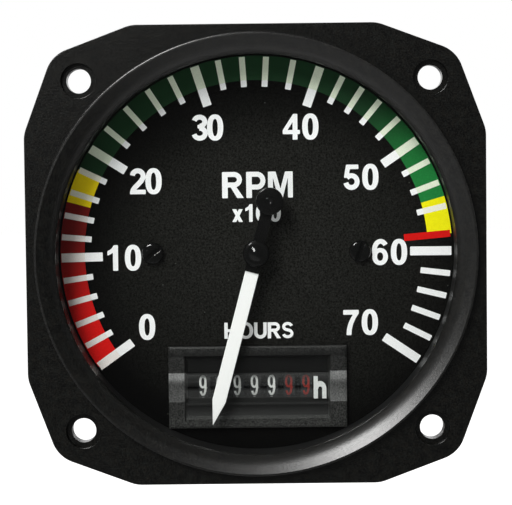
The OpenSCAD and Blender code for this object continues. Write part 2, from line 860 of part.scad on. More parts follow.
// The blade points along y before the pointer is turned to its bearing
module pointer_blade() {
    root = blade_root_w / 2;
    shoulder = blade_shoulder_w / 2;
    tongue = tongue_w / 2;
    color(white_paint) pointer_frame() plate(blade_front, blade_t) polygon([
        [-tongue, blade_root - tongue_l], [tongue, blade_root - tongue_l], [tongue, blade_root],
        [root, blade_root], [shoulder, blade_shoulder], [0, pointer_len], [-shoulder, blade_shoulder],
        [-root, blade_root], [-tongue, blade_root]
    ]);
}

// A round bar whose front edge is rounded
module round_cap(d, low, high, edge_r) {
    rotate_extrude() polygon(concat(
        [[0, high], [0, low], [d / 2, low]],
        arc_points([d / 2 - edge_r, high - edge_r], edge_r, 0, 90, 5)
    ));
}

arm_back = blade_back - nose_t;
arm_front = blade_front + nose_t;
// Width and height of the rivet's shoulder between the tail and the counterweight
shoulder_d = 2;
shoulder_h = 0.2;
weight_back = arm_front + shoulder_h;
weight_front = weight_back + weight_t;
// Depth of the dimple in the rivet's head
rivet_dimple = 0.25;

module pointer_hub() {
    color(black_plastic) pointer_frame() difference() {
        union() {
            round_cap(hub_d, hub_back, hub_front, hub_edge_r);
            plate(arm_front, arm_front - arm_back) {
                translate([-blade_root_w / 2, 0]) square([blade_root_w, blade_root]);
                translate([-tail_w / 2, -weight_reach]) square([tail_w, weight_reach]);
                translate([0, -weight_reach]) circle(d = tail_w);
            }
        }
        rod(shaft_d, hub_back - cut, hub_front + cut);
        translate([0, 0, hub_front - hub_sink])
            cylinder(d1 = shaft_d, d2 = shaft_d + 4 * hub_sink, h = 2 * hub_sink);
        translate([-tongue_w / 2, blade_root - tongue_l, blade_back])
            cube([tongue_w, tongue_l + cut, blade_t]);
        translate([0, -weight_reach, 0]) rod(rivet_d, arm_back - cut, arm_front + cut);
    }
}

// A disc on the front of the tail, in one piece with its rivet
module counterweight() {
    color(black_metal) pointer_frame() translate([0, -weight_reach, 0]) difference() {
        union() {
            round_cap(weight_d, weight_back, weight_front, weight_edge_r);
            rod(shoulder_d, arm_front, weight_back);
            rod(rivet_d, arm_back, arm_front);
        }
        rod(rivet_d, weight_front - rivet_dimple, weight_front + cut);
    }
}

module pointer_shaft() {
    color(steel) pointer_frame() rod(shaft_d, shaft_back, hub_front - shaft_set);
}

module rotor_magnet() {
    color(steel) pointer_frame() tube(rotor_d, shaft_d, core_mid - rotor_t / 2, core_mid + rotor_t / 2);
}

// Hours counter: number wheels on one shaft, carry pinions behind them, and the motor's gears

// Draws along the wheel shaft: x points to the dial's back, y up and z to the right, from the bank's axis
module counter_frame() {
    dial_frame() translate([0, -counter_drop, axis_z]) rotate([0, 90, 0]) children();
}

// A spur gear with straight-sided teeth; the first tooth lies at the angle turn
module gear(teeth, size, turn, bore_d, low, high) {
    pitch_r = teeth * size / 2;
    step = 360 / teeth;
    root_half = 0.34 * step;
    tip_half = 0.13 * step;
    root_r = pitch_r - 1.1 * size;
    tip_r = pitch_r + 0.7 * size;
    tooth = [[root_r, -root_half], [tip_r, -tip_half], [tip_r, tip_half], [root_r, root_half]];
    points = [
        for (i = [0 : teeth - 1], c = tooth)
            c[0] * [cos(turn + i * step + c[1]), sin(turn + i * step + c[1])]
    ];
    translate([0, 0, low]) linear_extrude(high - low) difference() {
        polygon(points);
        circle(d = bore_d);
    }
}

// Thickness of a number wheel's rim, of its web and of its hub
rim_t = 0.8;
web_t = 0.7;
hub_t = 0.8;

// One number wheel, counted from the left; the last one carries the finer driven gear
module number_wheel(index) {
    left = bank_left + index * wheel_pitch;
    bore_d = counter_shaft_d + 2 * run_gap;
    last = index == wheel_count - 1;
    color(black_plastic) counter_frame() {
        translate([0, 0, left]) rotate_extrude($fn = 96) {
            translate([wheel_r - rim_t, 0]) square([rim_t, rim_w]);
            translate([bore_d / 2, 0]) square([hub_t, rim_w]);
            translate([bore_d / 2, rim_w - web_t]) square([wheel_r - bore_d / 2 - rim_t / 2, web_t]);
        }
        gear(
            last ? driven_teeth : carry_teeth, last ? driven_module : carry_module,
            last ? reduction_bearing : 0, bore_d, left + rim_w - weld, left + rim_w + gear_t
        );
    }
}

// One carry pinion, in the space between two number wheels
module carry_pinion(index) {
    gap_w = wheel_pitch - rim_w;
    from = bank_left + index * wheel_pitch - (gap_w + pinion_t) / 2;
    color(nylon) counter_frame() translate([carry_distance, 0, 0])
        gear(
            pinion_teeth, carry_module, 180 + 180 / pinion_teeth,
            pinion_shaft_d + 2 * run_gap, from, from + pinion_t
        );
}

module reduction_gear() {
    bore_d = gear_axle_d + 2 * run_gap;
    from = last_rim_right + driven_pinion_from;
    wheel_from = last_rim_right + reduction_from;
    color(nylon) counter_frame() translate([reduction_place[0], reduction_place[1], 0]) {
        gear(
            pinion_teeth, driven_module, reduction_bearing + 180 + 180 / pinion_teeth,
            bore_d, from, wheel_from
        );
        gear(reduction_teeth, reduction_module, 0, bore_d, wheel_from - weld / 2, wheel_from + reduction_t);
    }
}

module motor_rotor() {
    bore_d = rotor_axle_d + 2 * run_gap;
    from = last_rim_right + reduction_from;
    magnet_from = last_rim_right + rotor_from;
    color(steel) counter_frame() translate([rotor_place[0], rotor_place[1], 0]) {
        gear(pinion_teeth, reduction_module, 180 + 180 / pinion_teeth, bore_d, from, magnet_from + weld);
        tube(motor_magnet_d, bore_d, magnet_from, magnet_from + rotor_l);
    }
}

module counter_shaft() {
    color(steel) counter_frame() rod(counter_shaft_d, -housing_w / 2, housing_w / 2);
}

module pinion_shaft() {
    color(steel) counter_frame() translate([carry_distance, 0, 0])
        rod(pinion_shaft_d, -housing_w / 2, housing_w / 2);
}

module gear_axles() {
    color(steel) counter_frame() {
        translate([reduction_place[0], reduction_place[1], 0])
            rod(gear_axle_d, last_rim_right + driven_pinion_from, housing_w / 2);
        translate([rotor_place[0], rotor_place[1], 0])
            rod(rotor_axle_d, last_rim_right + reduction_from, housing_w / 2);
    }
}

stator_mid = last_rim_right + rotor_from + rotor_l / 2;
stator_bar_w = 1;
// Distance of the stator's foot from the housing's lower wall
stator_inset = 0.45;
stator_foot = stator_inset - inner_h / 2;
// Places of the stator's two arms, behind and in front of the pinion shaft; the coil sits on the rear one
coil_arm_x = rotor_place[0] + 0.6;
plain_arm_x = carry_distance - pinion_shaft_d / 2 - 0.4 - stator_bar_w / 2;
plain_arm_top = rotor_place[1] - stator_ring_d / 2 + 1.2;
motor_coil_l = 4.4;
motor_winding_t = 0.7;

// A steel loop from the ring around the rotor, down one arm and back up through the coil
module motor_stator() {
    color(steel) counter_frame() plate(stator_mid + stator_t / 2, stator_t) difference() {
        union() {
            translate(rotor_place) circle(d = stator_ring_d);
            translate([coil_arm_x - stator_bar_w / 2, stator_foot])
                square([stator_bar_w, rotor_place[1] - stator_foot]);
            translate([plain_arm_x - stator_bar_w / 2, stator_foot])
                square([coil_arm_x - plain_arm_x + stator_bar_w, stator_bar_w]);
            translate([plain_arm_x - stator_bar_w / 2, stator_foot])
                square([stator_bar_w, plain_arm_top - stator_foot]);
            translate([plain_arm_x - stator_bar_w / 2, plain_arm_top - stator_bar_w])
                square([coil_arm_x - plain_arm_x, stator_bar_w]);
        }
        translate(rotor_place) circle(d = motor_magnet_d + 2 * motor_gap);
    }
}

module motor_coil() {
    coil_from = stator_foot + stator_bar_w + fit_gap;
    color(copper) counter_frame() translate([coil_arm_x, coil_from, stator_mid])
        rotate([-90, 0, 0]) difference() {
            block(stator_bar_w + 2 * motor_winding_t, stator_t + 2 * motor_winding_t, 0, motor_coil_l);
            block(stator_bar_w + 2 * pin_gap, stator_t + 2 * pin_gap, -cut, motor_coil_l + cut);
        }
}

// The housing stands on the board with four feet, which hold its pins
foot_w = 2.4;
counter_pin_places = [
    for (x = [-1, 1], y = [-1, 1]) [x * (housing_w - foot_w) / 2, y * (housing_h - foot_w) / 2]
];

module counter_housing() {
    color(black_plastic) {
        difference() {
            dial_frame() translate([0, -counter_drop, 0]) difference() {
                union() {
                    block(housing_w, housing_h, housing_back, dial_front);
                    at_each(counter_pin_places) block(foot_w, foot_w, board_front, housing_back + weld);
                }
                block(inner_w, inner_h, housing_back + counter_wall, dial_front + cut);
                at_each(counter_pin_places)
                    rod(pin_d + 2 * pin_gap, board_front - cut, housing_back);
            }
            counter_frame() {
                rod(counter_shaft_d + 2 * pin_gap, -housing_w, housing_w);
                translate([carry_distance, 0, 0]) rod(pinion_shaft_d + 2 * pin_gap, -housing_w, housing_w);
                translate([reduction_place[0], reduction_place[1], 0])
                    rod(gear_axle_d + 2 * pin_gap, 0, housing_w);
                translate([rotor_place[0], rotor_place[1], 0])
                    rod(rotor_axle_d + 2 * pin_gap, 0, housing_w);
            }
        }
    }
}

// Width of the bevel around the window, and of the mask's border above and below the window's pocket
window_bevel = 0.35;
pocket_border = 0.7;

module counter_window() {
    pocket_h = window_rise / 2;
    bevel = window_bevel;
    color(clear) dial_frame() translate([0, -counter_drop, 0]) difference() {
        block(window_w, window_h, dial_front, dial_front + window_rise);
        block(slot_len, inner_h - 2 * pocket_border, dial_front - cut, dial_front + pocket_h);
        for (side = [-1, 1]) {
            translate([side * window_w / 2, 0, dial_front + window_rise]) rotate([0, 45, 0])
                block(bevel, window_h + cut, -bevel / 2, bevel / 2);
            translate([0, side * window_h / 2, dial_front + window_rise]) rotate([45, 0, 0])
                block(window_w + cut, bevel, -bevel / 2, bevel / 2);
        }
    }
}

module counter_mask() {
    color(black_plastic) dial_frame() translate([0, -counter_drop, 0]) difference() {
        block(inner_w - 2 * pin_gap, inner_h - 2 * pin_gap, dial_front - mask_t, dial_front);
        block(slot_len, slot_h, dial_front - mask_t - cut, dial_front + cut);
    }
}

unit_plate_t = 0.8;

module unit_plate() {
    plate_from = last_rim_right + gear_t + fit_gap;
    plate_w = inner_w / 2 - pin_gap - plate_from;
    color(black_plastic) dial_frame()
        translate([plate_from, -counter_drop - inner_h / 2 + pin_gap, dial_front - mask_t - unit_plate_t])
            cube([plate_w, inner_h - 2 * pin_gap, unit_plate_t]);
}

module counter_pins() {
    color(brass) dial_frame() translate([0, -counter_drop, 0]) at_each(counter_pin_places)
        rod(pin_d, board_back - pin_out, housing_back);
}

bezel_flange();
glass_gasket();
cover_glass();
spacer_ring();
dial_plate();
dial_screws();
rear_can();
case_screws();
support_pillars();
board_screws();
circuit_board();
driver_chip();
regulator();
filter_capacitors();
trim_potentiometers();
resistors();
terminal_studs();
terminal_washers();
terminal_nuts();
movement_shield();
bobbin_front();
bobbin_rear();
inner_coil();
outer_coil();
movement_pins();
return_magnet();
shaft_bush();
pointer_blade();
pointer_hub();
counterweight();
pointer_shaft();
rotor_magnet();
counter_housing();
counter_window();
counter_mask();
unit_plate();
counter_shaft();
pinion_shaft();
gear_axles();
motor_stator();
motor_coil();
counter_pins();
number_wheel(0);  // ten_thousands_wheel
number_wheel(1);  // thousands_wheel
number_wheel(2);  // hundreds_wheel
number_wheel(3);  // tens_wheel
number_wheel(4);  // units_wheel
number_wheel(5);  // tenths_wheel
number_wheel(6);  // hundredths_wheel
carry_pinion(1);  // carry_pinion_1
carry_pinion(2);  // carry_pinion_2
carry_pinion(3);  // carry_pinion_3
carry_pinion(4);  // carry_pinion_4
carry_pinion(5);  // carry_pinion_5
carry_pinion(6);  // carry_pinion_6
reduction_gear();
motor_rotor();
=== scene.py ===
"""Panel tachometer: print, finishes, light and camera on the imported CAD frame.

Sizes are in millimetres in dial places: x to the right, z up, depth behind the flange face.
"""
import math

import bmesh
import bpy
from mathutils import Matrix, Vector
from mathutils.geometry import delaunay_2d_cdt


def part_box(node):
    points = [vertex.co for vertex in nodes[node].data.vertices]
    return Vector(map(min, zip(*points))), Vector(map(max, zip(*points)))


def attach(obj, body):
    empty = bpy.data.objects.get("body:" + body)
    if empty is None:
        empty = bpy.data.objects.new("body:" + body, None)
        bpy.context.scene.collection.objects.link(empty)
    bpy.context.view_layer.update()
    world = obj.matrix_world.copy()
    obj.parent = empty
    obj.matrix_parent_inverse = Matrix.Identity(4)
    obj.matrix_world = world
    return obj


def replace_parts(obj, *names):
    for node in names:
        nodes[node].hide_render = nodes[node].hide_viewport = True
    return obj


MM = 0.001

for start_name in ("Cube", "Light", "Camera"):
    start_object = bpy.data.objects.get(start_name)
    if start_object:
        bpy.data.objects.remove(start_object)

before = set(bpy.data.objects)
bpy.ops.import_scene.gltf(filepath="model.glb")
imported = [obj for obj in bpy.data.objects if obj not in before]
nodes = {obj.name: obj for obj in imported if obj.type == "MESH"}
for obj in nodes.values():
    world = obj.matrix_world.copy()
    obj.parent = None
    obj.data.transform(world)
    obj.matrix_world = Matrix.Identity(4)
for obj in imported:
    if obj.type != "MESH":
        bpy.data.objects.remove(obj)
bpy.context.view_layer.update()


# Shader nodes

def new_material(name):
    """A material with its node tree, and its shader."""
    mat = bpy.data.materials.new(name)
    mat.use_nodes = True
    return mat, mat.node_tree, mat.node_tree.nodes["Principled BSDF"]


def feed(fed, inputs):
    """Gives a node's inputs another socket's value, a number, or a colour as RGB or grey."""
    for key, value in inputs.items():
        socket = fed.inputs[key]
        if isinstance(value, bpy.types.NodeSocket):
            fed.id_data.links.new(value, socket)
        elif socket.type == "RGBA":
            socket.default_value = (*(value if isinstance(value, tuple) else (value,) * 3), 1)
        else:
            socket.default_value = value


def node(tree, kind, inputs=None, **values):
    """A new node of that kind, with its properties and its inputs set."""
    made = tree.nodes.new("ShaderNode" + kind)
    for key, value in values.items():
        setattr(made, key, value)
    feed(made, inputs or {})
    return made


def tree_of(*values):
    """The node tree of the sockets among some values."""
    return next(value.id_data for value in values if isinstance(value, bpy.types.NodeSocket))


def maths(operation, *values):
    """A Math node, each of whose inputs is a socket or a number."""
    return node(tree_of(*values), "Math", dict(enumerate(values)), operation=operation).outputs[0]


def between(value, low, high, out_low=0, out_high=1, ease="LINEAR"):
    """A value's range mapped on another."""
    inputs = {"Value": value, "From Min": low, "From Max": high, "To Min": out_low, "To Max": out_high}
    return node(value.id_data, "MapRange", inputs, clamp=True, interpolation_type=ease).outputs["Result"]


def vary(value, low, high):
    """The span that a noise mostly keeps to, mapped on a range."""
    return between(value, 0.3, 0.7, low, high)


def mixed(share, first, second, kind="MIX"):
    """Two colours mixed, multiplied or added. A Mix node's colours are its later sockets."""
    inputs = {0: share, 6: first, 7: second}
    return node(tree_of(share, first), "Mix", inputs, data_type="RGBA", blend_type=kind).outputs[2]


def places(tree):
    """The point of the surface in the piece's own frame."""
    return node(tree, "TexCoord").outputs["Object"]


def along(tree, axis):
    """The surface's place along an axis, in mm."""
    return maths("DIVIDE", node(tree, "SeparateXYZ", {0: places(tree)}).outputs[axis], MM)


def away(tree, *place):
    """The surface's distance from a place, in mm."""
    made = node(tree, "VectorMath", {0: places(tree), 1: Vector(place) * MM}, operation="DISTANCE")
    return maths("DIVIDE", made.outputs["Value"], MM)


def spread(tree, size, stretch=(1, 1, 1)):
    """Places counted in steps of size mm."""
    scale = [1 / (size * MM * s) for s in stretch]
    return node(tree, "Mapping", {"Vector": places(tree), "Scale": scale}).outputs["Vector"]


def noise(tree, size, detail=3, rough=0.55, stretch=(1, 1, 1)):
    """Noise whose features are about size mm across."""
    inputs = {"Vector": spread(tree, size, stretch), "Scale": 1, "Detail": detail, "Roughness": rough}
    return node(tree, "TexNoise", inputs).outputs[0]


def together(fine, broad, share):
    """Two noises added, the first with that share."""
    return maths("MULTIPLY_ADD", fine, share, maths("MULTIPLY", broad, 1 - share))


def levels(value, low, high, stops):
    """A value that follows given levels at places between low and high."""
    made = node(value.id_data, "ValToRGB", {"Fac": between(value, low, high)})
    band = made.color_ramp.elements
    while len(band) < len(stops):
        band.new(1)
    for element, (place, level) in zip(band, stops):
        element.position = (place - low) / (high - low)
        element.color = (level, level, level, 1)
    return made.outputs["Color"]


def dress(shader, colour, rough, specular, height, relief):
    """Sets a shader's colour and gloss, and a relief of that depth in mm."""
    bump = node(shader.id_data, "Bump", {"Distance": relief * MM, "Height": height})
    feed(shader, {"Base Color": colour, "Roughness": rough, "Specular IOR Level": specular,
                  "Normal": bump.outputs["Normal"]})


# Finishes

# A cloud's size beside its grain's, and the grain's share in the colour
CLOUD_SIZE = 12
GRAIN_SHARE = 0.65


def finish(name, low, high, rough, grain, relief, specular=0.5, metallic=0, stretch=(1, 1, 1)):
    """A surface whose colour, gloss and relief vary with a fine grain and a broad cloud."""
    mat, tree, shader = new_material(name)
    fine = noise(tree, grain, 4, 0.6, stretch)
    cloud = noise(tree, grain * CLOUD_SIZE, 2)
    share = between(together(fine, cloud, GRAIN_SHARE), 0.32, 0.68)
    feed(shader, {"Metallic": metallic})
    colour = mixed(share, low, high)
    dress(shader, colour, vary(cloud, *rough), specular, fine, relief)
    return mat


# The casting is duller where it is turned, within the first radius
TURNED_R, CAST_R = 39.62, 39.72
TURNED_DULL = 0.11


def casting_finish():
    """Satin black stoved paint with a fine orange peel and a faint mottle."""
    mat, tree, shader = new_material("satin_black")
    fine = noise(tree, 0.3, 2, 0.6)
    share = together(fine, noise(tree, 1.5, 4, 0.65), 0.6)
    paint = mixed(between(share, 0.41, 0.61), 0.0001, (0.0076, 0.0076, 0.0069))
    hue = between(noise(tree, 0.9, 2, 0.6), 0.4, 0.6)
    tint = mixed(hue, (1, 0.93, 0.78), (0.9, 1, 0.95))
    turned = between(away(tree, 0, 0, 0), TURNED_R, CAST_R, TURNED_DULL, 0)
    rough = maths("ADD", vary(fine, 0.18, 0.23), turned)
    dress(shader, mixed(1, paint, tint, "MULTIPLY"), rough, 0.76, fine, 0.022)
    return mat


# Dust on the dial: steps of its grid to a mm, and the share of steps that stay clean
DUST_PER_MM = 0.42
DUST_CLEAN = 0.72


def dial_finish():
    """Matt black paint with a fine grain and a little dust; painted shade makes it darker towards its rim,
    and a painted shadow of the ring darkens its upper left.
    """
    mat, tree, shader = new_material("dial_black")
    fine = noise(tree, 0.34, 3, 0.7)
    share = between(fine, 0.36, 0.64)
    paint = mixed(share, (0.0025, 0.0025, 0.0019), (0.0215, 0.0213, 0.0192))
    # Painted shade: darker towards the rim, then a painted shadow of the ring over the upper left
    rim = levels(away(tree, 3, 10, 4), 0, 42, (
        (8, 1), (14, 0.92), (22, 0.77), (29, 0.62), (32, 0.5), (35, 0.35), (38, 0.14),
        (41, 0.09)))
    top = levels(away(tree, 4, 10, -7), 20, 44, (
        (27, 1), (31, 0.74), (33, 0.56), (35, 0.41), (37, 0.3), (40, 0.27)))
    for shade in (rim, top):
        paint = mixed(1, paint, shade, "MULTIPLY")
    dust = node(tree, "TexVoronoi", {"Vector": spread(tree, 1 / DUST_PER_MM), "Scale": 1}, feature="F1")
    near = between(dust.outputs["Distance"], 0.02, 0.045, 1, 0)
    chance = node(tree, "SeparateColor", {"Color": dust.outputs["Color"]}).outputs[0]
    speck = maths("MULTIPLY", near, maths("GREATER_THAN", chance, DUST_CLEAN))
    colour = mixed(speck, paint, (0.11, 0.11, 0.1))
    dress(shader, colour, vary(fine, 0.58, 0.72), 0.03, fine, 0.006)
    return mat


def ink_finish(name, painted_shade, low, high, start, end):
    """Dial ink with painted shade: dark up to one bearing, for the ring's shadow, and its full colour from
    another.
    """
    mat, tree, shader = new_material(name)
    fine = noise(tree, 0.35, 4, 0.65)
    bearing = maths("ARCTAN2", along(tree, "X"), along(tree, "Z"))
    share = between(bearing, math.radians(start), math.radians(end), ease="SMOOTHSTEP")
    full = mixed(between(fine, 0.32, 0.68), low, high)
    colour = mixed(share, painted_shade, full)
    dress(shader, colour, vary(fine, 0.5, 0.62), 0.08, fine, 0.003)
    return mat


def over(share, first, second):
    """One shader with another over it by a share, on the outer face alone."""
    tree = share.id_data
    outside = maths("SUBTRACT", 1, node(tree, "NewGeometry").outputs["Backfacing"])
    return node(tree, "MixShader", {0: maths("MULTIPLY", share, outside), 1: first, 2: second}).outputs[0]


def mirror_over(under, ior, shine, rough):
    """Ends a clear material: what shows through it, and over that a mirror by the angle."""
    tree = under.id_data
    mirror = node(tree, "BsdfGlossy", {"Color": shine, "Roughness": rough})
    glazed = over(node(tree, "Fresnel", {"IOR": ior}).outputs[0], under, mirror.outputs[0])
    feed(tree.nodes["Material Output"], {"Surface": glazed})


def clear_finish(name, ior, tint, rough):
    """Clear sheet: light goes straight through, and the surface mirrors by its angle."""
    mat, tree, shader = new_material(name)
    tree.nodes.remove(shader)
    through = node(tree, "BsdfTransparent", {"Color": tint}).outputs[0]
    mirror_over(through, ior, 1, vary(noise(tree, 9, 3), rough, rough + 0.03))
    return mat


def print_ink(name, low, high, rough=0.58, specular=0.3):
    """Even ink of one colour."""
    return finish(name, low, high, (0.5, rough), 0.5, 0.003, specular)


FINISHES = {
    "black_casting": casting_finish(),
    "black_moulding": finish("moulded_black", 0.007, 0.012, (0.48, 0.58), 0.45, 0.012, 0.4),
    "gasket_rubber": finish("rubber", 0.01, 0.018, (0.7, 0.8), 0.3, 0.01, 0.3),
    "cover_glass": clear_finish("cover_glass_clear", 1.47, (0.985, 0.992, 0.988), 0),
    "dial_paint": dial_finish(),
    "blackened_steel": finish("blackened_steel_oxide", 0.01, 0.018, (0.28, 0.36), 0.3, 0.006, 0.6),
    "steel": finish("zinc_steel", (0.5, 0.5, 0.49), (0.62, 0.62, 0.6), (0.28, 0.38), 0.25, 0.004,
                    metallic=1, stretch=(1, 3, 1)),
    "brass": finish("turned_brass", (0.62, 0.43, 0.17), (0.76, 0.56, 0.25), (0.24, 0.36), 0.2, 0.004,
                    metallic=1, stretch=(4, 1, 4)),
    "board_laminate": finish(
        "green_laminate", (0.01, 0.1, 0.035), (0.018, 0.16, 0.055), (0.36, 0.45), 0.4, 0.006),
    "chip_plastic": finish("chip_plastic_black", 0.016, 0.028, (0.5, 0.6), 0.2, 0.006),
    "capacitor_can": finish(
        "capacitor_sleeve", (0.012, 0.014, 0.022), (0.02, 0.024, 0.036), (0.3, 0.4), 0.4, 0.004),
    "trimmer_blue": finish(
        "trimmer_plastic", (0.02, 0.1, 0.34), (0.03, 0.14, 0.44), (0.4, 0.5), 0.3, 0.004),
    "resistor_coat": finish(
        "resistor_lacquer", (0.5, 0.36, 0.2), (0.62, 0.46, 0.28), (0.35, 0.45), 0.3, 0.006),
    "shield_steel": finish(
        "rolled_steel", (0.42, 0.42, 0.41), (0.55, 0.55, 0.54), (0.32, 0.42), 0.3, 0.004,
        metallic=1, stretch=(1, 1, 5)),
    "nylon": finish("natural_nylon", (0.66, 0.64, 0.57), (0.76, 0.74, 0.67), (0.4, 0.5), 0.3, 0.004),
    "copper_wire": finish(
        "enamelled_copper", (0.42, 0.13, 0.035), (0.62, 0.24, 0.08), (0.24, 0.34), 0.12, 0.02,
        metallic=0.9, stretch=(6, 6, 1)),
    "magnet": finish("sintered_magnet", 0.1, 0.16, (0.42, 0.52), 0.2, 0.01, metallic=0.6),
    "pointer_white": finish(
        "pointer_white_paint", (0.885, 0.885, 0.872), (0.915, 0.915, 0.905), (0.42, 0.5), 0.6, 0.003, 0.3),
    "pointer_black": finish("pointer_black_paint", 0.0035, 0.0055, (0.17, 0.21), 0.3, 0.002, 0.28),
    "weight_black": finish("weight_black_paint", 0.003, 0.005, (0.15, 0.19), 0.3, 0.002, 0.45),
    "counter_black": finish("counter_black_plastic", 0.0035, 0.008, (0.4, 0.5), 0.25, 0.004, 0.12),
    "window_clear": clear_finish("window_sheet", 1.49, (0.93, 0.94, 0.93), 0.03),
    "wheel_black": finish(
        "wheel_black_plastic", (0.016, 0.016, 0.018), (0.024, 0.024, 0.027), (0.24, 0.3), 0.25, 0.003),
}
for part in nodes.values():
    for holder in part.material_slots:
        holder.material = FINISHES[holder.material.name.split(".")[0]]


# Pieces

def place_in_scene(name, data):
    """A new object in the scene."""
    made = bpy.data.objects.new(name, data)
    bpy.context.scene.collection.objects.link(made)
    return made


class Builder:
    """Collects points in mm and the faces between them, and makes one piece of them."""

    def __init__(self):
        self.verts = []
        self.faces = []

    def skin(self, first, second):
        """Faces between two loops with as many points."""
        count = len(first)
        for i in range(count):
            k = (i + 1) % count
            self.faces.append((first[i], first[k], second[k], second[i]))

    def tube(self, sections, ends=True):
        """Faces along sections, each a closed line of x and z with its depth, and over the ends."""
        loops = []
        for points, depth in sections:
            start = len(self.verts)
            self.verts += [(x, depth, z) for x, z in points]
            loops.append(list(range(start, len(self.verts))))
        for first, second in zip(loops, loops[1:]):
            self.skin(first, second)
        if ends:
            self.faces += [loops[0], loops[-1]]
        return loops

    def piece(self, name, body, slot, mat=None, rims=()):
        """The piece, with its faces turned outwards. Rims bound flat faces that have holes."""
        work = bmesh.new()
        verts = [work.verts.new(Vector(v) * MM) for v in self.verts]
        for face in self.faces:
            work.faces.new([verts[i] for i in face])
        for loops, facing in rims:
            edges = [work.edges.get((verts[a], verts[b])) for loop in loops
                     for a, b in zip(loop, loop[1:] + loop[:1])]
            bmesh.ops.triangle_fill(work, use_beauty=True, edges=edges, normal=(0, facing, 0))
        bmesh.ops.recalc_face_normals(work, faces=work.faces)
        mesh = bpy.data.meshes.new(name)
        work.to_mesh(mesh)
        work.free()
        mesh.materials.append(mat or FINISHES[slot])
        piece = place_in_scene(name, mesh)
        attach(piece, body)
        return piece


def smooth(piece, degrees=40):
    """The piece with smooth shading, apart from edges sharper than the angle."""
    for face in piece.data.polygons:
        face.use_smooth = True
    piece.data.set_sharp_from_angle(angle=math.radians(degrees))
    return piece


def arc(cx, cy, rx, ry, start, end, steps=16):
    """Points on part of an ellipse, by degrees counted from the right."""
    turns = [math.radians(start + (end - start) * i / steps) for i in range(steps + 1)]
    return [(cx + rx * math.cos(t), cy + ry * math.sin(t)) for t in turns]


def rounding(cx, cy, r, start, end, steps):
    """Points on part of a circle."""
    return arc(cx, cy, r, r, start, end, steps)


def oval(cx, cy, rx, ry, power, steps=44):
    """Points round an oval that is squarer for a higher power."""
    points = []
    for i in range(steps):
        t = 2 * math.pi * i / steps
        c, s = math.cos(t), math.sin(t)
        points.append((cx + rx * math.copysign(abs(c) ** (2 / power), c),
                       cy + ry * math.copysign(abs(s) ** (2 / power), s)))
    return points


def circle(cx, cy, r, steps=48):
    """Points round a circle."""
    return oval(cx, cy, r, r, 2, steps)


def rectangle(left, right, low, high):
    """The corners of a rectangle."""
    return [(left, low), (right, low), (right, high), (left, high)]


# The bezel casting: a square flange with cut corners, the ring, and the skirt behind it

FLANGE_HALF = 41.275
FLANGE_T = 4.6
FLAT_HALF = 20.9
CORNER_R = 5.92
BLEND_R = 6
FRONT_ROUND = 0.06
REAR_ROUND = 0.3
HOLE_AT = 31.431
HOLE_R = 2.2
HOLE_BREAK = 0.12
HOLE_REAR_BREAK = 0.15
RECESS_R = 3.15
RECESS_DEEP = 1.2
RECESS_LIP = 0.025
RECESS_BREAK = 0.1
RING_R = 39.6
RING_H = 1.9
RING_FOOT_R = 0.2
RING_EDGE_R = 0.06
CREST_LAND = 0.255
CREST_ROUND = 0.12
SLOPE_TILT = 27
SLOPE_LAND = 1.26
# Loops across the slope, as shares of its length
SLOPE_LOOPS = (0.03, 0.35, 0.7)
LIP_R = 36
LIP_DROP = 0.6
LIP_T = 0.4
LIP_BREAK = 0.05
BORE_R = 37.6
SKIRT_R = 39.4
SKIRT_END = 16
SKIRT_BREAK = 0.2
FILLET, FILLET_MID = 0.25, 0.08
# Flat strips beside roundings, which keep the faces even
SUPPORT = 0.25
CLOSE = 0.03
# Where the middle of a tiny rounding lies, as a share of its radius
ROUND_MID = 0.3
RING_SIDES = 192
HOLE_SIDES = 56


def flange_outline(inset):
    """The flange's outline, drawn in by the inset."""
    blend_at = FLANGE_HALF - BLEND_R
    slant = math.degrees(math.atan2(HOLE_AT - blend_at, HOLE_AT - FLAT_HALF))
    quarter = rounding(FLAT_HALF, blend_at, BLEND_R - inset, 90, 90 + slant, 6)
    quarter += rounding(HOLE_AT, HOLE_AT, CORNER_R - inset, 90 + slant, -slant, 28)
    quarter += rounding(blend_at, FLAT_HALF, BLEND_R - inset, -slant, 0, 6)
    points = []
    for _ in range(4):
        points += quarter
        quarter = [(z, -x) for x, z in quarter]
    return points


def roll_points():
    """The roll from the crest's straight slope to the lip, as radius and depth."""
    tilt = math.radians(SLOPE_TILT)
    ahead = CREST_ROUND * (1 / math.cos(tilt) - 1)
    start = Vector((RING_R - RING_EDGE_R - CREST_LAND - SLOPE_LAND,
                    -RING_H - ahead + SLOPE_LAND * math.tan(tilt)))
    chord = Vector((LIP_R, LIP_DROP)) - start
    bend = math.atan2(chord.y, -chord.x) - tilt
    radius = chord.length / (2 * math.sin(bend))
    middle = start + Vector((math.sin(tilt), math.cos(tilt))) * radius
    first = -90 - SLOPE_TILT
    return rounding(*middle, radius, first, first - 2 * math.degrees(bend), 14)


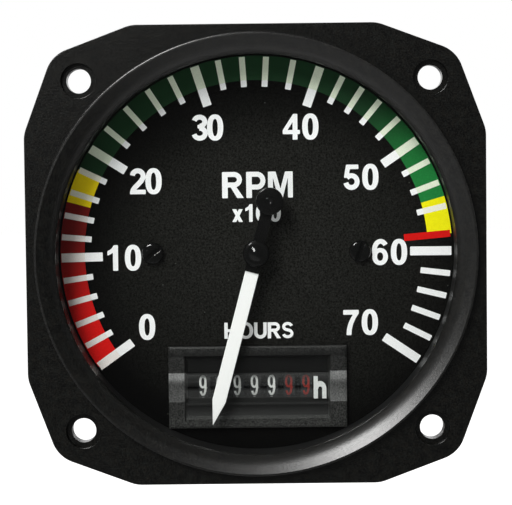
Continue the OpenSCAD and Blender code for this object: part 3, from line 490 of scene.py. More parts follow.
def ring_profile():
    """The casting's turned section, from the flange's front face round to its rear face."""
    edge = RING_R - RING_EDGE_R
    land = edge - CREST_LAND
    seat = LIP_DROP + LIP_T
    points = [(RING_R + RING_FOOT_R + SUPPORT, 0)]
    points += rounding(RING_R + RING_FOOT_R, -RING_FOOT_R, RING_FOOT_R, 90, 180, 4)
    points += rounding(edge, RING_EDGE_R - RING_H, RING_EDGE_R, 0, -90, 6)
    points += [(edge - CLOSE, -RING_H), (land + CLOSE, -RING_H)]
    points += rounding(land, CREST_ROUND - RING_H, CREST_ROUND, -90, -90 - SLOPE_TILT, 4)
    crest, roll = points[-1], roll_points()
    points += [tuple(Vector(crest).lerp(roll[0], share)) for share in SLOPE_LOOPS]
    points += roll
    points += [(LIP_R, seat - LIP_BREAK), (LIP_R + LIP_BREAK, seat), (BORE_R, seat),
               (BORE_R, SKIRT_END - SKIRT_BREAK), (BORE_R + SKIRT_BREAK, SKIRT_END),
               (SKIRT_R - SKIRT_BREAK, SKIRT_END), (SKIRT_R, SKIRT_END - SKIRT_BREAK),
               (SKIRT_R, FLANGE_T + FILLET), (SKIRT_R + FILLET_MID, FLANGE_T + FILLET_MID),
               (SKIRT_R + FILLET, FLANGE_T), (SKIRT_R + FILLET + SUPPORT, FLANGE_T)]
    return points


def hole_profile():
    """A mounting hole with its recess, from front to back."""
    lip, rear = RECESS_R + RECESS_LIP, HOLE_R + HOLE_REAR_BREAK
    return [(lip + SUPPORT, 0), (lip + CLOSE / 2, 0), (lip, 0),
            (RECESS_R + RECESS_LIP * ROUND_MID, RECESS_LIP * ROUND_MID), (RECESS_R, RECESS_LIP),
            (RECESS_R, RECESS_DEEP - RECESS_BREAK), (RECESS_R - RECESS_BREAK, RECESS_DEEP),
            (HOLE_R + HOLE_BREAK, RECESS_DEEP), (HOLE_R, RECESS_DEEP + HOLE_BREAK),
            (HOLE_R, FLANGE_T - HOLE_REAR_BREAK), (rear, FLANGE_T), (rear + SUPPORT, FLANGE_T)]


def make_bezel():
    """One closed mesh of the whole casting."""
    made = Builder()
    side = [(FRONT_ROUND + SUPPORT, 0)]
    side += rounding(FRONT_ROUND, FRONT_ROUND, FRONT_ROUND, -90, -180, 5)
    side += rounding(REAR_ROUND, FLANGE_T - REAR_ROUND, REAR_ROUND, 180, 90, 3)
    side += [(REAR_ROUND + SUPPORT, FLANGE_T)]
    walls = [made.tube([(flange_outline(inset), depth) for inset, depth in side], ends=False),
             made.tube([(circle(0, 0, r, RING_SIDES), depth) for r, depth in ring_profile()], ends=False)]
    for x in (-HOLE_AT, HOLE_AT):
        for z in (-HOLE_AT, HOLE_AT):
            hole = [(circle(x, z, r, HOLE_SIDES), depth) for r, depth in hole_profile()]
            walls.append(made.tube(hole, ends=False))
    rims = (([loops[0] for loops in walls], -1), ([loops[-1] for loops in walls], 1))
    return made.piece("bezel_casting", "case", "black_casting", rims=rims)


SCREW_DEPTH = 13.4
SCREW_R = 1.12
HEAD_R = 1.92
HEAD_SINK = 0.25
SCREWS_AT = (90, 210, 330)
# Radii between which the seats are cut, inside and outside the skirt
CUT_FROM, CUT_TO = 36, 41


def cut_screw_seats(piece):
    """Three countersunk holes through the skirt, for the case screws."""
    made = Builder()
    seat = SKIRT_R - HEAD_SINK
    stations = [(SCREW_R, CUT_FROM), (SCREW_R, seat - (HEAD_R - SCREW_R)), (HEAD_R, seat), (HEAD_R, CUT_TO)]
    for turned in SCREWS_AT:
        c, s = math.cos(math.radians(turned)), math.sin(math.radians(turned))
        start = len(made.verts)
        made.tube([(circle(0, 0, r, 40), out) for r, out in stations])
        made.verts[start:] = [(out * c - x * s, SCREW_DEPTH + z, out * s + x * c)
                              for x, out, z in made.verts[start:]]
    cutter = made.piece("seat_cutter", "case", "black_casting")
    cut = piece.modifiers.new("seats", "BOOLEAN")
    cut.operation = "DIFFERENCE"
    cut.solver = "EXACT"
    cut.object = cutter
    bpy.context.view_layer.update()
    shaped = bpy.data.meshes.new_from_object(piece.evaluated_get(bpy.context.evaluated_depsgraph_get()))
    piece.modifiers.remove(cut)
    piece.data = shaped
    bpy.data.objects.remove(cutter)


bezel = make_bezel()
cut_screw_seats(bezel)
smooth(bezel)
# Flat faces keep their direction, and the roundings between them carry the bend
weighted = bezel.modifiers.new("even_normals", "WEIGHTED_NORMAL")
weighted.weight = 100
weighted.keep_sharp = True
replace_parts(bezel, "bezel_flange")


# Print: thin closed patches on the dial and on the number wheels

def merged(patches):
    """The patches of one mark as points and triangles that don't overlap."""
    points, outlines = [], []
    for kind, left, *right in patches:
        loops = [left]
        if kind != "plate":
            pairs = list(zip(left, right[0]))
            after = pairs[1:] + (pairs[:1] if kind == "ring" else [])
            loops = [[a, c, d, b] for (a, b), (c, d) in zip(pairs, after)]
        for loop in loops:
            area = sum(a[0] * b[1] - a[1] * b[0] for a, b in zip(loop, loop[1:] + loop[:1]))
            start = len(points)
            points += [Vector(p) for p in (loop if area > 0 else loop[::-1])]
            outlines.append(list(range(start, len(points))))
    flat, _, triangles, _, _, origins = delaunay_2d_cdt(points, [], outlines, 1, 1e-4)
    return flat, [t for t, origin in zip(triangles, origins) if origin]


class Print(Builder):
    """Collects patches of ink. A place function puts a point at the bottom or the top of the ink."""

    def add(self, patches, place):
        """Ink of one mark, letter or number, as a thin closed solid."""
        flat, triangles = merged(patches)
        start = len(self.verts)
        top = start + len(flat)
        for level in (0, 1):
            self.verts += [place(p, level) for p in flat]
        sides = {(t[i], t[(i + 1) % 3]) for t in triangles for i in range(3)}
        for a, b, c in triangles:
            self.faces += [(start + a, start + c, start + b), (top + a, top + b, top + c)]
        self.faces += [(start + a, start + b, top + b, top + a) for a, b in sides if (b, a) not in sides]


def ring(cx, cy, outer, inner, power=2.3):
    """A closed ring between two ovals."""
    return ("ring", oval(cx, cy, *outer, power), oval(cx, cy, *inner, power))


def resample(path, step):
    """The same path with points no further apart than the step."""
    points = [path[0]]
    for first, second in zip(path, path[1:]):
        count = max(1, math.ceil(math.dist(first, second) / step))
        points += [tuple(Vector(first).lerp(second, (i + 1) / count)) for i in range(count)]
    return points


def stroke(path, width, closed=False):
    """A line of even width along a path, mitred at its corners."""
    points = [Vector(p) for p in path]
    ways = [(after - here).normalized() for here, after in zip(points, points[1:] + points[:1])]
    if not closed:
        ways[-1] = ways[-2]
    left, right = [], []
    for i, here in enumerate(points):
        arrive = ways[i - 1] if i or closed else ways[0]
        side = Vector((-arrive.y - ways[i].y, arrive.x + ways[i].x)).normalized()
        reach = width / 2 / max(0.5, side.dot(Vector((-arrive.y, arrive.x))))
        left.append(tuple(here + side * reach))
        right.append(tuple(here - side * reach))
    return ("ring" if closed else "strip", left, right)


def plate(*points, radius=0.035):
    """A flat shape with its corners slightly rounded."""
    rounded = []
    count = len(points)
    for i, point in enumerate(points):
        here, before, after = Vector(point), Vector(points[i - 1]), Vector(points[(i + 1) % count])
        first, last = (here + (there - here).normalized() * min(radius, (there - here).length / 3)
                       for there in (before, after))
        for t in (0, 0.33, 0.67, 1):
            rounded.append(tuple(first * (1 - t) ** 2 + here * 2 * t * (1 - t) + last * t * t))
    return ("plate", rounded)


def block(left, right, low=0, high=1):
    """An upright rectangle."""
    return plate(*rectangle(left, right, low, high))


# Bold letters and numbers, one unit high: the width of each, and its patches
BOLD = {
    "0": (0.635, ring(0.3175, 0.5, (0.3175, 0.51), (0.102, 0.335))),
    "1": (0.46, plate(
        (0.215, 0), (0.415, 0), (0.415, 1), (0.25, 1), (0.19, 0.895), (0.1, 0.815), (0, 0.77), (0, 0.595),
        (0.115, 0.64), (0.215, 0.705))),
    "2": (0.63, plate((0, 0), (0.62, 0), (0.62, 0.175), (0.02, 0.175)), stroke(
        arc(0.315, 0.7, 0.212, 0.212, 172, -12)
        + [(0.505, 0.615), (0.45, 0.52), (0.33, 0.39), (0.2, 0.265), (0.125, 0.155), (0.1, 0.07)], 0.195)),
    "3": (0.63, plate((0.225, 0.47), (0.36, 0.455), (0.36, 0.6), (0.225, 0.62)),
          stroke(arc(0.305, 0.735, 0.205, 0.175, 168, -88), 0.19),
          stroke(arc(0.305, 0.285, 0.222, 0.195, 92, -168), 0.19)),
    "4": (0.67, block(0, 0.67, 0.215, 0.375),
          plate((0.385, 0), (0.575, 0), (0.575, 1), (0.41, 1), (0.385, 0.96), radius=0.02),
          plate((0, 0.37), (0.185, 0.37), (0.39, 0.685), (0.39, 0.965), radius=0.01)),
    "5": (0.63, stroke(arc(0.31, 0.325, 0.222, 0.232, 142, -168, 22), 0.19), plate(
        (0.105, 0.985), (0.585, 0.985), (0.585, 0.81), (0.25, 0.81), (0.2, 0.47), (0.02, 0.475))),
    "6": (0.635, ring(0.325, 0.325, (0.305, 0.335), (0.118, 0.165), 2.1),
          stroke(arc(0.345, 0.56, 0.245, 0.36, 205, 38, 22), 0.185)),
    "7": (0.62, plate(
        (0, 0.985), (0.61, 0.985), (0.61, 0.85), (0.48, 0.66), (0.385, 0.44), (0.33, 0.22), (0.315, 0),
        (0.12, 0), (0.14, 0.24), (0.2, 0.46), (0.29, 0.655), (0.375, 0.8), (0, 0.8))),
    "R": (0.83, block(0, 0.215), plate((0.3, 0.46), (0.52, 0.46), (0.83, 0), (0.575, 0)), stroke(
        [(0.15, 0.905)] + arc(0.455, 0.705, 0.21, 0.2, 90, -90) + [(0.15, 0.505)], 0.19)),
    "P": (0.74, block(0, 0.215), stroke(
        [(0.15, 0.905)] + arc(0.415, 0.66, 0.225, 0.245, 90, -90) + [(0.15, 0.415)], 0.19)),
    "M": (0.95, plate(
        (0, 0), (0, 1), (0.295, 1), (0.475, 0.34), (0.655, 1), (0.95, 1), (0.95, 0), (0.76, 0), (0.76, 0.76),
        (0.565, 0), (0.385, 0), (0.19, 0.76), (0.19, 0))),
    "x": (0.6, plate((0, 0), (0.225, 0), (0.6, 0.725), (0.38, 0.725)),
          plate((0, 0.725), (0.225, 0.725), (0.6, 0), (0.375, 0))),
    "H": (0.8, block(0, 0.21), block(0.59, 0.8), block(0.18, 0.62, 0.42, 0.595)),
    "O": (0.92, ring(0.46, 0.5, (0.46, 0.515), (0.245, 0.335), 2.15)),
    "U": (0.78, stroke([(0.105, 1), (0.105, 0.38)] + arc(0.39, 0.37, 0.285, 0.275, 180, 360)
                       + [(0.675, 0.38), (0.675, 1)], 0.21)),
    "S": (0.72, stroke(
        arc(0.35, 0.72, 0.245, 0.195, 14, 262) + arc(0.35, 0.3, 0.262, 0.21, 84, -166), 0.185)),
    "h": (0.72, block(0, 0.24), stroke(
        [(0.14, 0.42)] + arc(0.37, 0.44, 0.23, 0.215, 168, 0) + [(0.6, 0.35), (0.6, 0)], 0.24)),
}

DIAL_FRONT = 9.8
INK = 0.02


def flat(x=0, z=0, wide=1, high=1, front=DIAL_FRONT, lift=0):
    """Puts a stretched pattern on a flat face, with extra ink under it where it lies on a colour."""
    def place(point, level):
        return (x + point[0] * wide, front - level * (INK + lift), z + point[1] * high)
    return place


# Some marks and their places on the uneven scale, in degrees clockwise from the top
CALIBRATION = ((0, -125.45), (2, -118.3), (10, -91.1), (12, -84.95), (14, -78.45), (20, -57.4), (22, -49.8),
               (26, -33.3), (30, -17.85), (36, 3.45), (40, 19.6), (42, 26.8), (44, 33.4), (46, 39.8),
               (48, 47.3), (50, 55.7), (54, 69.6), (56, 76.8), (60, 90.15), (68, 116.9), (70, 124.1))


def scale_angle(mark):
    """Degrees clockwise from the top at which the dial shows a mark."""
    for (low, start), (high, end) in zip(CALIBRATION, CALIBRATION[1:]):
        if low <= mark <= high:
            return start + (end - start) * (mark - low) / (high - low)


def polar(r, degrees):
    """A dial place by radius and degrees clockwise from the top."""
    t = math.radians(degrees)
    return (r * math.sin(t), r * math.cos(t))


BAND_IN, BAND_OUT = 31.6, 36.05
TICK_OUT = 35.9
MINOR_IN, MINOR_W = 30.4, 1.08
MAJOR_IN, MAJOR_W = 28.3, 1.63
BAR_ROUND = 0.13
CRISP_ROUND = 0.05
LAST_MARK = 70
LIMIT_MARK, LIMIT_ANGLE = 58, 85
LIMIT_IN, LIMIT_OUT, LIMIT_W = 27.3, 35.8, 1.27

WHITE_PRINT = print_ink("white_print", (0.86, 0.86, 0.865), (0.92, 0.92, 0.925))
ON_GREEN = print_ink("white_on_green", (0.72, 0.8, 0.62), (0.8, 0.86, 0.7))
ON_YELLOW = print_ink("white_on_yellow", (0.84, 0.82, 0.66), (0.9, 0.88, 0.74))
ON_RED = print_ink("white_on_red", (0.8, 0.74, 0.7), (0.88, 0.82, 0.79))
YELLOW_INK = print_ink("yellow_ink", (0.82, 0.76, 0.002), (0.92, 0.86, 0.004), 0.6, 0.08)
# Painted shade: the low yellow arc gets a more orange copy of the yellow ink, for the shade it lies in
SHADED_YELLOW_INK = print_ink("shaded_yellow_ink", (0.92, 0.68, 0.002), (0.97, 0.74, 0.004), 0.6, 0.08)
LIMIT_INK = print_ink("limit_ink", (0.58, 0.004, 0.003), (0.68, 0.007, 0.005), 0.6, 0.08)
# Painted shade: the first colour of each ink is its dark copy for the ring's shadow at the upper left
GREEN_INK = ink_finish("green_ink", (0.0075, 0.04, 0.013), (0.009, 0.165, 0.033), (0.014, 0.225, 0.046),
                       34, 74)
RED_INK = ink_finish("red_ink", (0.17, 0.005, 0.004), (0.6, 0.004, 0.003), (0.7, 0.007, 0.006), -82, -114)

# Each colour with its first and last mark, its ink, and the ink of the white marks on it
COLOURS = (
    ("red_low", 0, 15.15, RED_INK, ON_RED),
    ("yellow_low", 15.15, 18, SHADED_YELLOW_INK, ON_YELLOW),
    ("green", 18, 55.2, GREEN_INK, ON_GREEN),
    ("yellow_high", 55.2, LIMIT_MARK, YELLOW_INK, ON_YELLOW),
)

for name, first_mark, last_mark, ink, _ in COLOURS:
    start = scale_angle(first_mark)
    end = LIMIT_ANGLE if last_mark == LIMIT_MARK else scale_angle(last_mark)
    count = max(2, math.ceil(end - start))
    turns = [start + (end - start) * i / count for i in range(count + 1)]
    band = Print()
    band.add([("strip", *([polar(r, t) for t in turns] for r in (BAND_IN, BAND_OUT)))], flat())
    band.piece("arc_" + name, "case", "dial_paint", ink)


def bar(angle, inner, outer, width, radius=BAR_ROUND):
    """A radial bar with slightly rounded corners."""
    out, aside = Vector(polar(1, angle)), Vector(polar(1, angle + 90))
    corners = rectangle(-width / 2, width / 2, inner, outer)
    return plate(*(tuple(out * r + aside * across) for across, r in corners), radius=radius)


white = Print()
on_colour = {name: Print() for name, *_ in COLOURS}
for mark in range(0, LAST_MARK + 1, 2):
    if mark == LIMIT_MARK:
        continue
    inner, width = (MINOR_IN, MINOR_W) if mark % 10 else (MAJOR_IN, MAJOR_W)
    angle = scale_angle(mark)
    colours = [name for name, first_mark, last_mark, *_ in COLOURS if first_mark <= mark <= last_mark]
    if colours:
        white.add([bar(angle, inner, BAND_IN, width)], flat(lift=INK))
        on_colour[colours[0]].add([bar(angle, BAND_IN, TICK_OUT, width, CRISP_ROUND)], flat(lift=INK))
    else:
        white.add([bar(angle, inner, TICK_OUT, width)], flat())
for name, _, _, _, tint in COLOURS:
    on_colour[name].piece("marks_on_" + name, "case", "dial_paint", tint)

limit = Print()
limit.add([bar(LIMIT_ANGLE, LIMIT_IN, LIMIT_OUT, LIMIT_W, CRISP_ROUND)], flat(lift=2 * INK))
limit.piece("limit_line", "case", "dial_paint", LIMIT_INK)


def word(text, x, z, height, gap):
    """White letters centred on a place, with a gap between them as a share of their height."""
    at = x - height * (sum(BOLD[c][0] for c in text) + gap * (len(text) - 1)) / 2
    for c in text:
        wide, *patches = BOLD[c]
        white.add(patches, flat(at, z - height / 2, height, height))
        at += (wide + gap) * height


NUMERAL_H = 4.72
for text, x, z, gap in (("0", -20.3, -13.6, 0), ("10", -24.33, -0.78, 0.22), ("20", -20.19, 13.27, -0.02),
                        ("30", -8.71, 22.99, -0.04), ("40", 8.37, 22.97, 0.09), ("50", 19.37, 13.63, 0.1),
                        ("60", 24.5, -0.23, 0.11), ("70", 19.09, -13.14, 0.1)):
    word(text, x, z, NUMERAL_H, gap)
word("RPM", 0.34, 12.4, 4.8, 0.094)
word("x100", 0.11, 7.23, 3.25, 0.14)
word("HOURS", 0.33, -14.46, 2.98, 0.06)
white.piece("dial_print", "case", "dial_paint", WHITE_PRINT)


# Counter: wheels with their numbers, the unit, and the window

WHEEL_AXIS = (17.8, -24.797)
WHEEL_R = 6.5
WHEEL_INK = 0.015
DIGIT_H = 3.85
DIGIT_W = 1.36
DIGIT_LINE = 0.4
DIGIT_STEP = 0.2
DIGIT_FIRST = -10.2
DIGIT_PITCH = 3.185
# The number that shows at rest
DIGIT_AT_REST = 9
WHITE_WHEELS = ("ten_thousands_wheel", "thousands_wheel", "hundreds_wheel", "tens_wheel", "units_wheel")
RED_WHEELS = ("tenths_wheel", "hundredths_wheel")

WHITE_DIGIT = finish("wheel_white_ink", 0.8, (0.9, 0.9, 0.89), (0.5, 0.6), 0.3, 0.003, 0.3)
RED_DIGIT = finish("wheel_red_ink", (0.2, 0.016, 0.012), (0.34, 0.03, 0.022), (0.5, 0.6), 0.25, 0.003, 0.3)

# Lines of the narrow numbers from 0 to 9, in a box of one unit, and whether each line is closed
THIN_DIGITS = (
    [(oval(0.5, 0.5, 0.5, 0.5, 2.8, 40), True)],
    [([(0.25, 0.78), (0.58, 1), (0.58, 0)], False)],
    [(arc(0.5, 0.74, 0.5, 0.26, 170, -15) + [(0.8, 0.5), (0, 0.02), (1, 0.02)], False)],
    [(arc(0.45, 0.75, 0.47, 0.25, 160, -90) + arc(0.45, 0.25, 0.53, 0.25, 90, -160), False)],
    [([(0.72, 0), (0.72, 1), (0, 0.28), (1, 0.28)], False)],
    [([(0.92, 1), (0.12, 1), (0.04, 0.52)] + arc(0.48, 0.3, 0.5, 0.3, 130, -155), False)],
    [(oval(0.5, 0.29, 0.5, 0.29, 2.3, 36), True),
     (arc(0.5, 0.6, 0.5, 0.4, 30, 180) + [(0, 0.6), (0, 0.3)], False)],
    [([(0, 1), (1, 1), (0.38, 0)], False)],
    [(oval(0.5, 0.75, 0.44, 0.25, 2.2, 32), True), (oval(0.5, 0.25, 0.5, 0.25, 2.2, 32), True)],
    [(oval(0.5, 0.71, 0.5, 0.29, 2.3, 36), True),
     ([(1, 0.7), (1, 0.4)] + arc(0.5, 0.4, 0.5, 0.4, 0, -150), False)],
)


def wheel_place(x, turned):
    """Puts a pattern round a wheel, turned downwards from its front by degrees."""
    def place(point, level):
        around = point[1] / WHEEL_R - math.radians(turned)
        r = WHEEL_R + level * WHEEL_INK
        return (x + point[0], WHEEL_AXIS[0] - r * math.cos(around), WHEEL_AXIS[1] + r * math.sin(around))
    return place


for index, wheel in enumerate(WHITE_WHEELS + RED_WHEELS):
    inks = Print()
    for step in range(10):
        strokes = []
        for line, closed in THIN_DIGITS[(DIGIT_AT_REST + step) % 10]:
            sized = [((px - 0.5) * (DIGIT_W - DIGIT_LINE), (py - 0.5) * (DIGIT_H - DIGIT_LINE))
                     for px, py in line]
            strokes.append(stroke(sized if closed else resample(sized, DIGIT_STEP), DIGIT_LINE, closed))
        inks.add(strokes, wheel_place(DIGIT_FIRST + index * DIGIT_PITCH, 36 * step))
    inks.piece("numbers_" + wheel, wheel, "wheel_black", RED_DIGIT if wheel in RED_WHEELS else WHITE_DIGIT)

SHEET_EDGE = 0.05
WINDOW_X = 16.4
WINDOW_LOW, WINDOW_HIGH = -32.32, -17.28
WINDOW_FRONT = 8.5
WINDOW_BEVEL, BEVEL_DEEP = 0.32, 0.14
# Openings and edges: half width, lower edge and upper edge
OPENING_FRONT = (13.5, -31.05, -19)
OPENING_REAR = (12.95, -30.2, -19.35)
OPENING_DEPTH = 9.7
MASK_EDGE = (14.23, -31.43, -18.17)
# Sheets: left, right, lower and upper edges, front and back
PANE = (-13.3, 13.3, -30.75, -19.15, 8.75, 9.15)
UNIT_FRONT = 9.9
UNIT_SHEET = (10.1, 14.2, -27.6, -22.3, UNIT_FRONT, 11.1)
MASK_BACK = 10.3
SLOT_X = 13.3
SLOT_LOW, SLOT_HIGH = -27.71, -22.12
# How far the slot narrows behind: at its ends, below and above
SLOT_TAPER = (0.3, 0.9, 0.6)


def frame_rings(name, sections, slot, mat=None):
    """A rectangular frame from sections of half width, lower edge, upper edge and depth."""
    made = Builder()
    loops = made.tube([(rectangle(-half, half, low, high), depth) for half, low, high, depth in sections],
                      ends=False)
    made.skin(loops[-1], loops[0])
    return made.piece(name, "case", slot, mat)


def bevelled_sheet(name, left, right, low, high, front, back, slot, mat=None):
    """A flat sheet with its front edges bevelled."""
    made = Builder()
    made.tube([(rectangle(left + inset, right - inset, low + inset, high - inset), depth)
               for inset, depth in ((SHEET_EDGE, front), (0, front + SHEET_EDGE), (0, back))])
    return made.piece(name, "case", slot, mat)


def frosted_finish():
    """Clear plastic with rough moulded walls: a speckled grey haze, with painted light and shade by height
    and painted light at the slot's ends.
    """
    mat, tree, shader = new_material("window_frosted")
    fine = noise(tree, 0.26, 3, 0.7)
    height, side = along(tree, "Z"), along(tree, "X")
    haze_and_painted_light = mixed(between(fine, 0.39, 0.65), (0.0015, 0.002, 0.0015), (0.056, 0.056, 0.054))
    # Painted light and shade by height: brighter low down, darkest just under the upper edge
    depth = levels(height, -32.5, -17, (
        (-32.3, 1.25), (-30.9, 1.2), (-28, 1), (-19.4, 0.6), (-19, 0.24), (-17.6, 0.75)))
    # Painted light at each end of the slot, where light shows through the clear walls, by height
    left = levels(height, -28, -22, (
        (-27.5, 0), (-27.4, 0.06), (-25.5, 0.05), (-24.7, 0.035), (-24.1, 0.04), (-23.7, 0.08),
        (-23.2, 0.18), (-22.2, 0.21), (-22.05, 0)))
    right = levels(height, -28, -21, (
        (-27.6, 0), (-27.5, 0.11), (-26, 0.075), (-25, 0.048), (-24.2, 0.045), (-23.7, 0.075),
        (-23.2, 0.15), (-21.95, 0.18), (-21.85, 0)))
    at_left = maths("LESS_THAN", side, -SLOT_X)
    at_right = maths("GREATER_THAN", side, SLOT_X)
    ends = maths("MULTIPLY_ADD", at_left, left, maths("MULTIPLY", at_right, right))
    ends = maths("MULTIPLY", ends, vary(fine, 0.62, 1.38))
    haze_and_painted_light = mixed(1, mixed(1, haze_and_painted_light, depth, "MULTIPLY"), ends, "ADD")
    dress(shader, haze_and_painted_light, vary(noise(tree, 3, 2), 0.34, 0.46), 0.28, fine, 0.016)
    return mat


def pane_finish():
    """The window's clear sheet, with a faint white veil in bands by height: painted light over the slot, and
    painted highlights for moulded edges that catch the light.
    """
    mat, tree, shader = new_material("window_pane_clear")
    tree.nodes.remove(shader)
    # Painted light: how much white veil covers the sheet at each height
    painted_light = levels(along(tree, "Z"), -31, -19, (
        (-30.7, 0.05), (-30, 0.036), (-29, 0.017), (-28.2, 0.002), (-27.95, 0.022), (-27.75, 0.022),
        (-27.5, 0.001), (-26.95, 0.001), (-26.6, 0.034), (-25.5, 0.034), (-25.1, 0.01), (-24.9, 0),
        (-24.7, 0), (-24.45, 0.013), (-23.2, 0.028), (-22.6, 0.05), (-22.3, 0.034), (-22.1, 0.001),
        (-19.2, 0.001)))
    painted_light = maths("MULTIPLY", painted_light, vary(noise(tree, 0.35, 3, 0.7), 0.6, 1.4))
    through = node(tree, "BsdfTransparent", {"Color": (0.95, 0.955, 0.95)}).outputs[0]
    painted_light_film = node(tree, "BsdfDiffuse", {"Color": (0.8, 0.81, 0.8)}).outputs[0]
    mirror_over(over(painted_light, through, painted_light_film), 1.49, 0.8, 0.05)
    return mat


border = frame_rings("window_border", [
    (WINDOW_X, WINDOW_LOW, WINDOW_HIGH, DIAL_FRONT),
    (WINDOW_X, WINDOW_LOW, WINDOW_HIGH, WINDOW_FRONT + BEVEL_DEEP),
    (WINDOW_X - WINDOW_BEVEL, WINDOW_LOW + WINDOW_BEVEL, WINDOW_HIGH - WINDOW_BEVEL, WINDOW_FRONT),
    (*OPENING_FRONT, WINDOW_FRONT),
    (*OPENING_REAR, OPENING_DEPTH),
    (*OPENING_REAR, DIAL_FRONT),
], "window_clear", frosted_finish())
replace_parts(border, "counter_window")
bevelled_sheet("window_pane", *PANE, "window_clear", pane_finish())

mask = frame_rings("number_mask", [
    (*MASK_EDGE, DIAL_FRONT),
    (SLOT_X, SLOT_LOW, SLOT_HIGH, DIAL_FRONT),
    (SLOT_X - SLOT_TAPER[0], SLOT_LOW + SLOT_TAPER[1], SLOT_HIGH - SLOT_TAPER[2], MASK_BACK),
    (*MASK_EDGE, MASK_BACK),
], "counter_black")
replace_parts(mask, "counter_mask")

UNIT_LEFT, UNIT_FOOT = 10.31, -27.19
UNIT_W, UNIT_H = 2.35, 4.16

unit = Print()
unit_wide, *unit_patches = BOLD["h"]
unit.add(unit_patches, flat(UNIT_LEFT, UNIT_FOOT, UNIT_W / unit_wide, UNIT_H, UNIT_FRONT))
unit.piece("unit_print", "case", "counter_black", WHITE_PRINT)
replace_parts(bevelled_sheet("unit_sheet", *UNIT_SHEET, "counter_black"), "unit_plate")


# Small pieces: the dial's screws, the pointer's blade, cap and counterweight, and the rear studs

def points_of(name):
    """A CAD node's points and its depths in front and behind, in mm."""
    low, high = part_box(name)
    return [Vector(v.co) / MM for v in nodes[name].data.vertices], low.y / MM, high.y / MM


SCREW_EDGE = 0.5
SLOT_HALF = 0.36
SLOT_DEEP = 0.8
SLOT_LIP = 0.14
SLOT_TURNS = (37, 70)
# Depths of the loops round each half of a head, which starts inside its foot
HEAD_STEPS = (SLOT_DEEP + 0.05, 0.5, 0.31, 0.21, 0.14, 0.09, 0.05, 0.02, 0)
# How close counts as the same place
NEAR = 0.01

CAP_BLACK = finish("cap_black_paint", 0.003, 0.005, (0.1, 0.13), 0.3, 0.001)


def rounded(radius, down):
    """How far a rounded edge stands back at a distance below its face."""
    left = max(radius - down, 0)
    return radius - math.sqrt(radius * radius - left * left)


def half_disc(x, r, chord, turn):
    """A disc's part on one side of a chord, turned about its centre."""
    start = math.degrees(math.asin(chord / r))
    return rounding(x, 0, r, turn + start, turn + 180 - start, 24)


def make_screws():
    """The two slotted screws of the dial: a shank and a foot with two halves of the head on it."""
    corners, front, back = points_of("dial_screws")
    reach = max(v.x for v in corners)
    shank = [v.x for v in corners if v.x > 0 and v.y > back - NEAR]
    shank_r = (max(shank) - min(shank)) / 2
    middle = (max(shank) + min(shank)) / 2
    head_r = reach - middle
    seat = max(v.y for v in corners if v.x > reach - NEAR)
    foot = ((shank_r, back), (shank_r, seat), (head_r, seat), (head_r, front + SLOT_DEEP))
    made = Builder()
    for x, turn in zip((-middle, middle), SLOT_TURNS):
        made.tube([(circle(x, 0, r), depth) for r, depth in foot])
        for half in (turn, turn + 180):
            made.tube([(half_disc(x, head_r - rounded(SCREW_EDGE, down),
                                  SLOT_HALF + rounded(SLOT_LIP, down), half), front + down)
                       for down in HEAD_STEPS])
    return smooth(made.piece("dial_screws", "case", "blackened_steel", CAP_BLACK))


BLADE_HALF = 1.25
BLADE_ROOT = 3.55
BLADE_SHOULDER = 27.85
BLADE_EDGE = 0.05
BLADE_ASIDE = -0.12
BLADE_TIP_HALF = 0.03


def make_blade():
    """The white blade, with its edges broken, from the hub's nose to the tip."""
    corners, front, back = points_of("pointer_blade")
    tip = max((Vector((v.x, v.z)) for v in corners), key=lambda v: v.length)
    out = tip.normalized()
    aside = Vector((out.y, -out.x))
    made = Builder()
    sections = []
    for inset, depth in ((BLADE_EDGE, front), (0, front + BLADE_EDGE), (0, back)):
        half = BLADE_HALF - inset
        edge = [(BLADE_ROOT, half), (BLADE_SHOULDER, half), (tip.length - 3 * inset, BLADE_TIP_HALF)]
        edge += [(r, -side) for r, side in reversed(edge)]
        sections.append(([tuple(out * r + aside * (side + BLADE_ASIDE)) for r, side in edge], depth))
    made.tube(sections)
    return made.piece("blade", "pointer", "pointer_white")


CAP_R = 1.35
CAP_DOME_R = 2.4
CAP_FOOT = 0.2
HUB_FRONT = 4
WEIGHT_EDGE = 0.22
WEIGHT_REAR_BREAK = 0.1
RIVET_R = 0.8
RIVET_RISE = 0.14
RIVET_EDGE = 0.06
RIVET_GAP = 0.05
# The rivet's dimple, as radius and depth
DIMPLE = ((0.34, 0), (0.272, 0.04), (0.136, 0.09), (0.03, 0.1))


def turned_piece(name, x, z, profile, slot, mat=None):
    """A closed piece turned about a place from radius and depth, on the pointer."""
    made = Builder()
    made.tube([(circle(x, z, r), depth) for r, depth in profile])
    return smooth(made.piece(name, "pointer", slot, mat))


def front_edge(r, depth, radius):
    """A rounded front edge, from the side to the face, as radius and depth."""
    return rounding(r - radius, depth + radius, radius, 0, -90, 5)


def cap_profile():
    """The dome, with its foot inside the hub."""
    reach = math.asin(CAP_R / CAP_DOME_R)
    middle = HUB_FRONT + CAP_DOME_R * math.cos(reach)
    reach = math.degrees(reach)
    return [(CAP_R, HUB_FRONT + CAP_FOOT)] + rounding(0, middle, CAP_DOME_R, reach - 90, reach / 8 - 90, 7)


def make_weight():
    """The disc with a rounded front edge, and the rivet head with a dimple."""
    low, high = (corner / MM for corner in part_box("counterweight"))
    middle, r = (low + high) / 2, (high.x - low.x) / 2
    head = low.y - RIVET_RISE
    profile = [(r - WEIGHT_REAR_BREAK, high.y), (r, high.y - WEIGHT_REAR_BREAK)]
    profile += front_edge(r, low.y, WEIGHT_EDGE) + [(RIVET_R + RIVET_GAP, low.y)]
    profile += front_edge(RIVET_R, head, RIVET_EDGE) + [(at, head + deep) for at, deep in DIMPLE]
    return turned_piece("weight_disc", middle.x, middle.z, profile, "weight_black")


